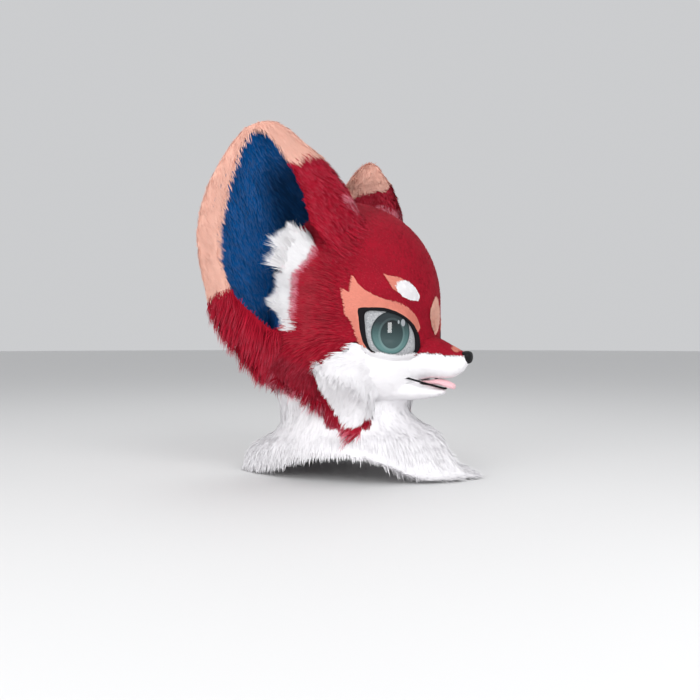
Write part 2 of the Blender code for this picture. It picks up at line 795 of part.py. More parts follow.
def lip_point(x, y, radius):
    """A cord along the top of the lower lip, from one corner of the mouth to the other."""
    side = 2 * y - 1
    run = 1 - side * side
    row = (len(JAW) - 2) * (LIP_START + (1 - LIP_START) * run)
    low = int(row)
    part = row - low
    entry = [JAW[low][i] + part * (JAW[low + 1][i] - JAW[low][i]) for i in range(4)]
    half = entry[1] * LIP_SPREAD * min(1.0, abs(side) * LIP_CORNER)
    centre = Vector((math.copysign(half, side), entry[0], entry[2] + LIP_LIFT))
    turn = 2 * math.pi * x
    flat = Vector((side, -run * LIP_TURN - 0.1, 0)).normalized()
    return centre + flat * (math.cos(turn) * radius) + Vector((0, 0, math.sin(turn) * radius))


lip_bm = sheet(LIP_AROUND, LIP_ROWS, lambda x, y: lip_point(x, y, LIP_RADIUS))
lip = add(lip_bm, "lip_line", BLACK, CLOTH_ROUGH)


def lip_cut_point(x, y):
    past = 2 * y - 1 if min(y, 1 - y) < WELD else 0.0
    return lip_point(x, y, LIP_RADIUS + 2 * GAP) + Vector((past, abs(past), 0)) * LIP_PAST


carve(face, add(sheet(LIP_AROUND, LIP_ROWS, lip_cut_point), "lip_cut"), "DIFFERENCE")


# Eyes and markings on the right, then their twins on the left
eye_hole = add(ray_block(grown(EYE_EDGE, CLEAR_SHARE)), "eye_hole")
patch = face_piece("eye_patch_right", EYE_PATCH, PATCH_LIFT, SALMON)
carve(patch, eye_hole, "DIFFERENCE")
spot = face_piece("brow_spot_right", BROW_SPOT, PATCH_LIFT, WHITE)
tail = face_piece("brow_tail_right", BROW_TAIL, PATCH_LIFT, PEACH)
carve(tail, add(ray_block(grown(BROW_SPOT, BROW_SHARE)), "brow_cut"), "DIFFERENCE")
rim = face_piece("eye_rim_right", EYE_EDGE, RIM_LIFT, BLACK, CLOTH_ROUGH)
carve(rim, add(ray_block(grown(EYE_INNER, CLEAR_SHARE)), "eye_inner_cut"), "DIFFERENCE")
plate = face_piece("eye_right", EYE_INNER, PLATE_LIFT, SILVER, LENS_ROUGH)
iris_outline = [
    (
        IRIS_AT[0] + IRIS_HALF[0] * math.cos(2 * math.pi * i / IRIS_POINTS),
        IRIS_AT[1] + IRIS_HALF[1] * math.sin(2 * math.pi * i / IRIS_POINTS),
    )
    for i in range(IRIS_POINTS)
]
iris = face_piece("iris_right", iris_outline, IRIS_LIFT, SLATE, LENS_ROUGH)
carve(iris, add(ray_block(grown(EYE_INNER, IRIS_SHARE)), "iris_trim"), "INTERSECT")
for hole in (eye_hole, mirrored(eye_hole, "eye_hole_left")):
    carve(head, hole, "DIFFERENCE")
    carve(face, hole, "DIFFERENCE")
mark = face_piece("forehead_mark", FOREHEAD_MARK, PATCH_LIFT, PEACH)

# Ruff of long fur, laid on the head and the neck
skull_block = add(skull_ball(GAP), "skull_block")


def ruff_lifts(azimuth, share):
    top, hem = value(RUFF, azimuth, 3), value(RUFF, azimuth, 4)
    return top + (hem - top) * share


ruff_span = (RUFF[0][0], 360.0 - RUFF[0][0])
ruff = add(fringe(RUFF, *ruff_span, RUFF_LOCKS, RUFF_THICK, RUFF_TOOTH, ruff_lifts), "ruff", RED)
ruff_block = add(
    fringe(RUFF, *ruff_span, RUFF_LOCKS, RUFF_THICK, RUFF_TOOTH, ruff_lifts, RUFF_BLOCK, GAP), "ruff_block"
)
for block in (skull_block, plug):
    carve(ruff, block, "DIFFERENCE")

# Ears
ear = add(ear_body(0.0), "ear_right", RED)
carve(ear, add(ear_body(EAR_WALL), "ear_hollow"), "DIFFERENCE")
carve(ear, add(ear_block(EAR_WINDOW, WINDOW_LOW, EAR_REACH), "ear_window"), "DIFFERENCE")
lining = add(ear_body(EAR_WALL + GAP), "ear_lining_right", BLUE)
carve(lining, add(ear_body(EAR_WALL + GAP + LINING_THICK), "lining_hollow"), "DIFFERENCE")
carve(lining, add(ear_block(LINING_FRONT, LINING_LOW, EAR_REACH), "lining_front"), "DIFFERENCE")
tuft = add(lock(*EAR_LOCKS[0], LOCK_THICK), "ear_tuft_right", WHITE)
for index, entry in enumerate(EAR_LOCKS[1:]):
    carve(tuft, add(lock(*entry, LOCK_THICK), f"ear_lock_{index}"), "UNION")
for piece in (ear, lining, tuft):
    for block in (skull_block, plug, ruff_block):
        carve(piece, block, "DIFFERENCE")
ear_rim = add(ear_body(0.0), "ear_rim_right", PEACH)
ear_rim.data = ear.data.copy()
paint(ear_rim, PEACH, FUR_ROUGH)
carve(ear_rim, add(ear_block(EAR_RIM, -EAR_REACH, EAR_REACH), "ear_rim_form"), "INTERSECT")
carve(ear, add(ear_block(moved_out(EAR_RIM, GAP), -EAR_REACH, EAR_REACH), "ear_rim_cut"), "DIFFERENCE")

for piece in (ear, lining, tuft, ear_rim):
    keep_largest(piece)

# Neck and cheeks
bib = add(bib_ring(), "neck_bib", WHITE)
cheek_span = (CHEEK[0][0], CHEEK[-1][0])
cheek_bm = fringe(
    CHEEK, *cheek_span, CHEEK_LOCKS, CHEEK_THICK, CHEEK_TOOTH, lambda azimuth, share: CHEEK_LIFT
)
cheek = add(cheek_bm, "cheek_fur_right", WHITE)
for right in (patch, spot, tail, rim, plate, iris, ear, ear_rim, lining, tuft, cheek):
    mirrored(right, right.name.replace("_right", "_left"))

# Last cleaning, the shift to the frame and the shading
for obj in bpy.data.objects:
    slim(obj)
    obj.data.transform(Matrix.Translation((0, FRAME_Y, 0)))
    obj.data.shade_smooth()
    obj.data.set_sharp_from_angle(angle=math.radians(SHARP_ANGLE))
    obj.data.update()
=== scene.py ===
"""The looks of a costume animal head: fake fur, glossy eyes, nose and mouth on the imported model."""

import math
from typing import NamedTuple

import bmesh
import bpy
import numpy as np
from bpy.props import FloatProperty, FloatVectorProperty, PointerProperty
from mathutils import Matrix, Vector
from mathutils.bvhtree import BVHTree
from mathutils.kdtree import KDTree


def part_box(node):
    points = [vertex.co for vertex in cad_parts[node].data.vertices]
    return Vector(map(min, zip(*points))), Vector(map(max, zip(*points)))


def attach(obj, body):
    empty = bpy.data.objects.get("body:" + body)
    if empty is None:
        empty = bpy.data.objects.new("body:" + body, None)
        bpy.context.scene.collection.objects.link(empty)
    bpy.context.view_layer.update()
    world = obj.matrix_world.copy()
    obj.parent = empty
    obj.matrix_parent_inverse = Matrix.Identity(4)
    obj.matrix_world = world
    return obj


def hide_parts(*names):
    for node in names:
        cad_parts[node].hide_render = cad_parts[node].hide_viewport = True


bl_info = {
    "name": "Costume animal head",
    "version": (1, 0, 0),
    "blender": (4, 5, 0),
    "location": "3D View > Sidebar > Costume",
    "description": "Dresses the packed costume head in fake fur, eyes, a nose and a mouth",
    "category": "Object",
}

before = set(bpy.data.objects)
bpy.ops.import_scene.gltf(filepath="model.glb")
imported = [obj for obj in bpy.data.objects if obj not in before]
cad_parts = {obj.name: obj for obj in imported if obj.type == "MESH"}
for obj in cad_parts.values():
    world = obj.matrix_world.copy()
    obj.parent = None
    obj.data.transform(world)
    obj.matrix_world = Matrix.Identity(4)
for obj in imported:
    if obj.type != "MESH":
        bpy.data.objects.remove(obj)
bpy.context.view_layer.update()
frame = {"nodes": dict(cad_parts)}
SIDES = (("right", 1.0), ("left", -1.0))

# The skull that the solids are made on, in metres. The head faces -Y and its right side is at -X.
SKULL_AT = Vector((0.0, 0.020, 0.327))
SKULL_HALF = Vector((0.165, 0.171, 0.187))
JAW_DROP = 0.200
CROWN_POWER = 2.0
JAW_POWER = 3.5
NECK_Y = 0.036
NOSE_FROM = np.array((0.0, -0.285, 0.232))
EYE_AT = np.array((-0.118, -0.106, 0.266))
# The right ear's own directions, and the point that they start from
EAR_BASE = np.array((-0.120, 0.046, 0.385))
EAR_UP = np.array((-0.3629, 0.1074, 0.9256))
EAR_BACK = np.array((-0.5297, 0.7935, -0.2997))
EAR_OUT = np.array((-0.7667, -0.5990, -0.2311))
# The front edge of each ear's white tuft as height and Y, and where its two clumps fan out from
TUFT_EDGE = (
    (0.250, 0.063), (0.272, 0.060), (0.300, 0.053), (0.360, 0.053), (0.375, 0.037),
    (0.392, 0.023), (0.414, 0.022), (0.431, 0.035), (0.450, 0.049), (0.471, 0.064),
)
UPPER_FAN = np.array((-0.150, -0.030, 0.345))
LOWER_FAN = np.array((-0.155, -0.030, 0.275))
# The top edge of the white muzzle under the eye, as azimuth and height
MUZZLE_TOP = (
    (20.0, 0.2250), (27.0, 0.2205), (38.0, 0.2195), (42.0, 0.2195), (48.0, 0.2225),
    (53.7, 0.2270), (57.0, 0.2320), (60.0, 0.2395), (61.5, 0.2450), (65.0, 0.2470),
)
# How far up the short white fur over that edge reaches, to the glass of the eye
LID_TOP = (
    (19.0, 0.2240), (22.0, 0.2262), (24.0, 0.2275), (27.0, 0.2258), (30.0, 0.2246), (37.0, 0.2232),
    (44.0, 0.2253), (49.0, 0.2288), (52.0, 0.2290), (54.0, 0.2278), (56.3, 0.2320), (58.8, 0.2375),
    (61.0, 0.2440),
)
# The lower edge of the ruff as Y and height
RUFF_HEM = ((-0.060, 0.075), (-0.038, 0.079), (0.020, 0.141), (0.110, 0.186), (0.200, 0.190))
BRIDGE_SPOT_AT = np.array((0.0, -0.193, 0.0))
BRIDGE_SPOT_HALF = np.array((0.0170, 0.0070, 1.0))
BOWL_MIDDLE = EAR_BASE + 0.10 * EAR_UP + 0.055 * EAR_BACK
TONGUE_HEIGHT = 0.1705
# Points closer than this are one, and faces that bend less than this are shaded as one
WELD = 0.00001
CREASE = math.cos(math.radians(60))
# The longest edges of the fine copies, of the thin patches and of the skull and jaw
THIN_EDGE = 0.005
FULL_EDGE = 0.013
# Edges sharper than these angles stay, on the jaw with its open mouth and elsewhere
JAW_SHARPEST = 80
SHARPEST = 48
# The soft skin that is melted over the solids: its grain, and the rounds that smooth it and fill its creases
GRAIN = 0.0056
SMOOTH_ROUNDS = 6
SHRINK, SWELL = 0.50, 0.52
VOTE_ROUNDS = 3
NORMAL_ROUNDS = 6
FILL_ROUNDS = 44
CHEEK_ROUNDS = 110
# Ahead of this the creases of the face stay sharp
FACE_FRONT_Y = -0.080
# How much deeper than its coat says the soft skin lies, and how far a patch of another fur is lifted off it
MELTED_SINK = 1.4
PATCH_LIFT = 0.0012
# Where the soft skin shows on the skull and the jaw: as high as this over them, and behind the flat front
BUMP_HEIGHT = 0.0007
FLAT_FRONT_Y = -0.09
# The thin patches: the lift that fur starts from, and how their own thickness is flattened
BARE_LIFT = 0.0003
THIN_DROP = 0.0009
THIN_SHARE = 0.3
# Where rays start off a hard surface and off the sunk soft one, and how near a neighbour hides the fur
RAY_START = 0.0001
SOFT_RAY_START = 0.012
COVERED_WITHIN = 0.004
# How far off the floor the skins, the strands' edges and their middle lines stay
SKIN_FLOOR = 0.0002
STRAND_FLOOR = 0.0003
PATH_FLOOR = 0.0006
# Roots drawn for each strand kept, how deep they start, and where on a strand's colours the skin is, partway
# into the painted shade of the roots
TRIES = 5
ROOT_DEPTH = 0.0005
SKIN_ALONG = 0.30
# The streaks of tone along the fur, the size of its swirls, and how its strands differ in length and width
STREAK_TONE = 0.14
STREAK_SIZE = 0.03
STREAK_STRETCH = 0.85
SWIRL_SIZE = 0.07
LENGTHS = (0.65, 1.15)
WIDTHS = (0.7, 1.3)
# What the camera and the lamps look at, and the light of the room
AIM_Y = 0.026
AIM_TILT = -15.0 / 900.0
LAMP_AIM = Vector((0.0, 0.0, 0.3))
ROOM_COLOUR = (0.97, 0.98, 1.0, 1.0)
ROOM_LIGHT = 0.62

# Outlines of the eye, as azimuth from the front and height
EYE_EDGE = (
    (62.6, 0.3090), (54.5, 0.3109), (46.4, 0.3101), (39.2, 0.3042), (32.0, 0.2946),
    (25.5, 0.2805), (20.9, 0.2625), (18.9, 0.2444), (20.7, 0.2317), (26.6, 0.2241),
    (35.2, 0.2216), (43.7, 0.2238), (51.7, 0.2301), (56.1, 0.2361), (59.8, 0.2502),
    (61.7, 0.2713), (62.3, 0.2888),
)
EYE_INNER = (
    (58.1, 0.3029), (48.9, 0.3048), (41.9, 0.3014), (34.9, 0.2945), (28.8, 0.2822),
    (24.5, 0.2661), (22.8, 0.2481), (23.3, 0.2320), (30.0, 0.2236), (37.0, 0.2224),
    (44.0, 0.2246), (51.0, 0.2306), (55.5, 0.2392), (57.7, 0.2572), (58.7, 0.2801),
)
IRIS_AT = (41.5, 0.2660)
IRIS_HALF = (13.4, 0.0385)
# The lowest and highest azimuth and height that the maps of the silver plate and of the iris cover
EYE_SPAN = ((16.0, 0.215), (66.0, 0.312))
IRIS_SPAN = tuple(tuple(np.array(IRIS_AT) + way * np.array(IRIS_HALF)) for way in (-1, 1))
# The iris ends at the plate's lower edge, a little inside it, and the rim reaches down into the head
PLATE_INSET = 0.985
LOWER_EDGE_TOP = 0.245
RIM_FOOT = -0.006
DOME_RINGS = 14
# The nose is squarer than a ball, narrower below, and falls back under its tip
NOSE_POWER = 0.72
NOSE_PINCH = 0.35
NOSE_FALL = 0.45
TONGUE_SWELL = 0.85


# Small numerical tools
def unit(vectors):
    return vectors / np.maximum(np.linalg.norm(vectors, axis=-1, keepdims=True), 1e-9)


def ease(x):
    x = np.clip(x, 0.0, 1.0)
    return x * x * (3 - 2 * x)


def ripple(points, size, seed):
    """Smooth noise from about -1 to 1, whose features are of a size, made of crossed waves."""
    rng = np.random.default_rng(seed)
    total = np.zeros(len(points))
    for _ in range(7):
        way = unit(rng.normal(size=3)) * rng.uniform(0.7, 1.5) * 2 * math.pi / size
        total += np.sin(points @ way + rng.uniform(0, 2 * math.pi))
    return np.clip(total / 3.5, -1, 1)


def skull_scale(points):
    """What each point's distance from the middle of the skull is multiplied by to lie on the skull."""
    part = (points - np.array(SKULL_AT)) / np.array(SKULL_HALF)
    low = part[:, 2] < 0
    part[low, 2] *= SKULL_HALF.z / JAW_DROP
    power = np.where(low, JAW_POWER, CROWN_POWER)
    girth = np.hypot(part[:, 0], part[:, 1]) ** power + np.abs(part[:, 2]) ** power
    return np.maximum(girth, 1e-9) ** (-1 / power)


def skull_lift(points):
    """How far each point stands out of the skull."""
    reach = np.linalg.norm(points - np.array(SKULL_AT), axis=1)
    return reach * (1 - skull_scale(points))


def at_lift(points, lift):
    """The points moved along their rays from the skull's middle to a lift over it."""
    ray = points - np.array(SKULL_AT)
    return np.array(SKULL_AT) + ray * skull_scale(points)[:, None] + unit(ray) * np.reshape(lift, (-1, 1))


def skull_at(azimuth, height, lift=0.0):
    """The point of the right side of the skull at an azimuth in degrees and a height."""
    low = height < SKULL_AT.z
    power = JAW_POWER if low else CROWN_POWER
    t = min(abs(height - SKULL_AT.z) / ((JAW_DROP if low else SKULL_HALF.z) + lift), 1.0)
    girth = max(0.0, 1 - t**power) ** (1 / power)
    turn = math.radians(azimuth)
    x = -(SKULL_HALF.x + lift) * girth * math.sin(turn)
    y = SKULL_AT.y - (SKULL_HALF.y + lift) * girth * math.cos(turn)
    return Vector((x, y, height))


def rounded(outline, count):
    """A smooth closed curve through the corners of an outline."""
    corners = np.array(outline)
    total = len(corners)
    spots = np.arange(count) * total / count
    low = spots.astype(int)
    t = (spots - low)[:, None]
    p0, p1, p2, p3 = (corners[(low + k) % total] for k in (-1, 0, 1, 2))
    bend, twist = 2 * p0 - 5 * p1 + 4 * p2 - p3, 3 * p1 - p0 - 3 * p2 + p3
    return 0.5 * (2 * p1 + (p2 - p0) * t + bend * t**2 + twist * t**3)


# Where a point of the right side is: round the skull in degrees, and up and back on the ear in metres
def azimuth_of(points):
    return np.degrees(np.arctan2(-points[:, 0] / SKULL_HALF.x, -(points[:, 1] - SKULL_AT.y) / SKULL_HALF.y))


def up_on_ear(points):
    return (points - EAR_BASE) @ EAR_UP


def back_on_ear(points):
    return (points - EAR_BASE) @ EAR_BACK


def out_of_ear(points):
    return (points - EAR_BASE) @ EAR_OUT


def between(values, low, high):
    return (values > low) & (values < high)


def even(share):
    """The same share everywhere."""
    return lambda points: np.full(len(points), share)


# How the fur lies, on the right side of the head, by place and by the surface's normal
def one_way(x, y, z):
    """A comb that lies the same way everywhere."""
    return lambda points, normals: np.broadcast_to(np.array((x, y, z)), points.shape)


def from_nose(points, normals):
    off_eye = points - EYE_AT
    far = np.linalg.norm(off_eye, axis=1, keepdims=True)
    low = ease((0.280 - points[:, 2:3]) / 0.06) * ease((points[:, 1:2] + 0.05) / 0.06)
    fall = np.array((0.0, 0.0, -0.8)) * low
    return unit(points - NOSE_FROM) + 1.3 * unit(off_eye) * ease(1.4 - far / 0.062) + fall


def down_ear(points, normals):
    back, up = back_on_ear(points)[:, None], up_on_ear(points)[:, None]
    outward = 0.8 * ease((back - 0.06) / 0.08) * ease((0.12 - up) / 0.16)
    forward = 0.55 * ease((0.05 - back) / 0.06)
    fall = np.array((0.0, 0.0, -0.4)) * ease((0.05 - up) / 0.1)
    return -EAR_UP + EAR_BACK * (outward - forward) + fall


def down_rim(points, normals):
    return down_ear(points, normals) + 0.7 * unit(BOWL_MIDDLE - points)


def down_lining(points, normals):
    front = ease((0.06 - back_on_ear(points)) / 0.06)[:, None]
    return -EAR_UP - EAR_BACK * (0.10 + 0.45 * front)


def along_cheek(points, normals):
    low = ease((points[:, 1:2] + 0.095) / 0.05) * ease((0.230 - points[:, 2:3]) / 0.03)
    return unit(points - NOSE_FROM) + np.array((0.0, 0.0, -0.9)) * low


def tuft_fan(points, normals):
    """The tuft's two clumps open like fans: the upper one up and back, the lower one straight back."""
    upper = ease((points[:, 2:3] - 0.350) / 0.03)
    return unit(points - UPPER_FAN) * upper + unit(points - LOWER_FAN) * (1 - upper)


def back_and_down(points, normals):
    low = ease((0.25 - points[:, 2:3]) / 0.10)
    return np.array((0.0, 0.75, -0.75)) * (1 - low) + np.array((0.0, 0.30, -1.0)) * low


def down(points, normals):
    out = points * np.array((1.0, 1.0, 0.0)) - np.array((0.0, NECK_Y, 0.0))
    return 0.5 * unit(out) + np.array((0.0, 0.0, -1.0))


# How long the pile is at a place, as a share of the coat's length
def shaved_face(points):
    return 0.20 + 0.80 * ease((points[:, 1] + 0.075) / 0.085)


def shaved_chin(points):
    return 0.20 + 0.80 * ease((points[:, 1] + 0.085) / 0.05)


def ear_skirt(points):
    up = up_on_ear(points)
    return 0.56 + 0.44 * ease((0.10 - up) / 0.08) + 0.50 * ease((0.01 - up) / 0.05)


def two_clumps(points):
    """Long in the middle of the upper clump, and at the top of the lower one, which tapers down."""
    height = points[:, 2]
    notch = np.exp(-(((height - 0.367) / 0.010) ** 2))
    top = ease((height - 0.415) / 0.04)
    foot = ease((0.345 - height) / 0.08)
    return (1 - 0.5 * notch) * (1 - 0.45 * top) * (1 - 0.60 * foot)


def short_foot(points):
    return 0.25 + 0.75 * ease((points[:, 2] - 0.275) / 0.05)


def ruff_edge(points):
    return 1 - 0.45 * ease((0.125 - points[:, 2]) / 0.035)


# Where a coat grows
def tuft_front(points):
    """How far a point lies behind the front edge of the white tuft."""
    heights, edges = zip(*TUFT_EDGE)
    return points[:, 1] - np.interp(points[:, 2], heights, edges)


def behind_tuft_edge(points):
    return (tuft_front(points) > -0.001) & (points[:, 2] > 0.270)


def ahead_of_tuft_edge(points):
    return ~behind_tuft_edge(points)


def at_tuft_edge(points):
    return between(tuft_front(points), -0.011, 0.001) & (points[:, 2] > 0.272)


def tuft_foot(points):
    """The strip of the skull behind the tuft's lower clump that the clump's own fur grows from."""
    low = between(points[:, 2], 0.270, 0.352)
    return between(azimuth_of(points), 99, 113) & low & (tuft_front(points) > 0)


def temple(points):
    """The skull ahead of the tuft and under the ear, whose long fur lies over their front edges."""
    turn, height = azimuth_of(points), points[:, 2]
    ahead = between(turn, 72, 101) & between(height, 0.255, 0.47)
    return ahead | (between(turn, 60, 80) & between(height, 0.40, 0.50))


def under_eye(points):
    """The strip of the skull between the eye and the white muzzle."""
    turn = azimuth_of(points)
    top = np.interp(turn, *zip(*MUZZLE_TOP))
    return between(turn, 19, 62) & between(points[:, 2], 0.2, top + 0.006)


def cheek_join(points):
    """The white face just ahead of the cheek's hanging fur."""
    return between(points[:, 1], -0.078, 0.01) & between(points[:, 2], 0.165, 0.218)


def in_ear_mouth(points):
    """The strip of the skull that shows inside the ear, behind the tuft."""
    turn = azimuth_of(points)
    foot = 0.264 + 0.0040 * np.maximum(115 - turn, 0)
    return between(turn, 106, 137) & between(points[:, 2], foot, 0.43)


def on_bridge(points):
    """The small pale spot on the bridge of the nose."""
    off = (points - BRIDGE_SPOT_AT) / BRIDGE_SPOT_HALF
    return (off[:, 0] ** 2 + off[:, 1] ** 2 < 1) & (points[:, 1] < 0)


def behind_ear(points):
    """The pale spot low on the front of the ear's back."""
    up, back = up_on_ear(points) - 0.104, back_on_ear(points) + 0.094
    along, across = (up + back) / 1.414, (up - back) / 1.414
    return (along / 0.026) ** 2 + (across / 0.011) ** 2 < 1


def ear_tip(points):
    """The pale top of the ear, which reaches lower on its back."""
    edge = 0.163 + 0.034 * ease((out_of_ear(points) + 0.015) / 0.03) + 0.003 * ripple(points, 0.025, 5)
    return up_on_ear(points) > edge


def under_cheek(points):
    """The skull behind the hanging cheek, which only white fur covers."""
    return (points[:, 2] < 0.218) & between(points[:, 1], -0.09, 0.006)


def red_head(points):
    """The red of the skull, less what the tuft covers and what other coats grow on."""
    covered = between(azimuth_of(points), 100, 108) & between(points[:, 2], 0.262, 0.45)
    for other in (in_ear_mouth, on_bridge, under_eye, under_cheek):
        covered |= other(points)
    return ~covered


def red_ear(points):
    """The red of the ear, which is thin on its pale spot."""
    return 1 - np.maximum(0.5 * behind_ear(points), ear_tip(points))


def muzzle_edge(points):
    """The top edge of the white muzzle, ahead of the eyes."""
    return (points[:, 1] < -0.138) & (points[:, 2] > 0.2160)


def beside_chin(points):
    """The part of the ruff that shows in the gap between the cheek and the chin."""
    front = (points[:, 1] < -0.044) & (points[:, 2] > 0.126)
    return front | ((points[:, 1] < 0.0) & (points[:, 2] > 0.160))


def ruff_hem(points):
    """The lowest band of the ruff, whose pale tips lie over the white neck."""
    edge = np.interp(points[:, 1], *zip(*RUFF_HEM))
    return (points[:, 2] < edge + 0.024) & ~beside_chin(points)


def red_ruff(points):
    """The ruff thins out at its front end, beside the hanging cheek."""
    front = (points[:, 1] < -0.052) & (points[:, 2] <= 0.126)
    return 1 - np.maximum(0.6 * front, beside_chin(points))


# How light each strand is, from 0 to 1
def red_tone(points):
    return 0.54 + 0.24 * ease((points[:, 1] + 0.04) / 0.08)


# Painted shade: the ruff is darker where it lies under the head, and less so in its lowest band
def ruff_painted_shade(points):
    return 0.52 + 0.20 * ease((0.13 - points[:, 2]) / 0.04)


# Painted shade: the blue lining is darker at the front of the ear's hollow and at its foot, where shade falls
# in the ear
def bowl_painted_shade(points):
    back, up = back_on_ear(points), up_on_ear(points)
    front = ease((0.075 - back) / 0.06) * ease((0.235 - up) / 0.07)
    foot = ease((0.05 - up) / 0.05) * ease((0.085 - back) / 0.03)
    return 0.92 - 0.85 * np.maximum(front, foot)


class Coat(NamedTuple):
    """One fur: the solids that carry it, its finish, and its pile in metres and degrees."""

    name: str
    nodes: tuple
    slot: str
    colour: str
    strands: int
    length: float
    width: float
    comb: object
    growth: object = even(1.0)
    where: object = even(1.0)
    tone: object = even(0.72)
    speckle: float = 0.10
    sink: float = 0.0030
    see: float = 0.0
    lean: float = 30.0
    lay: float = 6.0
    steps: int = 2
    lock: float = 0.010
    gather: float = 0.25
    mess: float = 0.12
    droop: float = 0.0
    spill: float = 0.002
    underside: float = -2.0
    skin: str = "own"
    melted: bool = False
    fill: float = 0.0


def pair(coat):
    """The same coat on the right and on the left, each on its own solids."""
    return tuple(
        coat._replace(name=f"{coat.name}_{side}", nodes=tuple(f"{node}_{side}" for node in coat.nodes))
        for side, _ in SIDES
    )


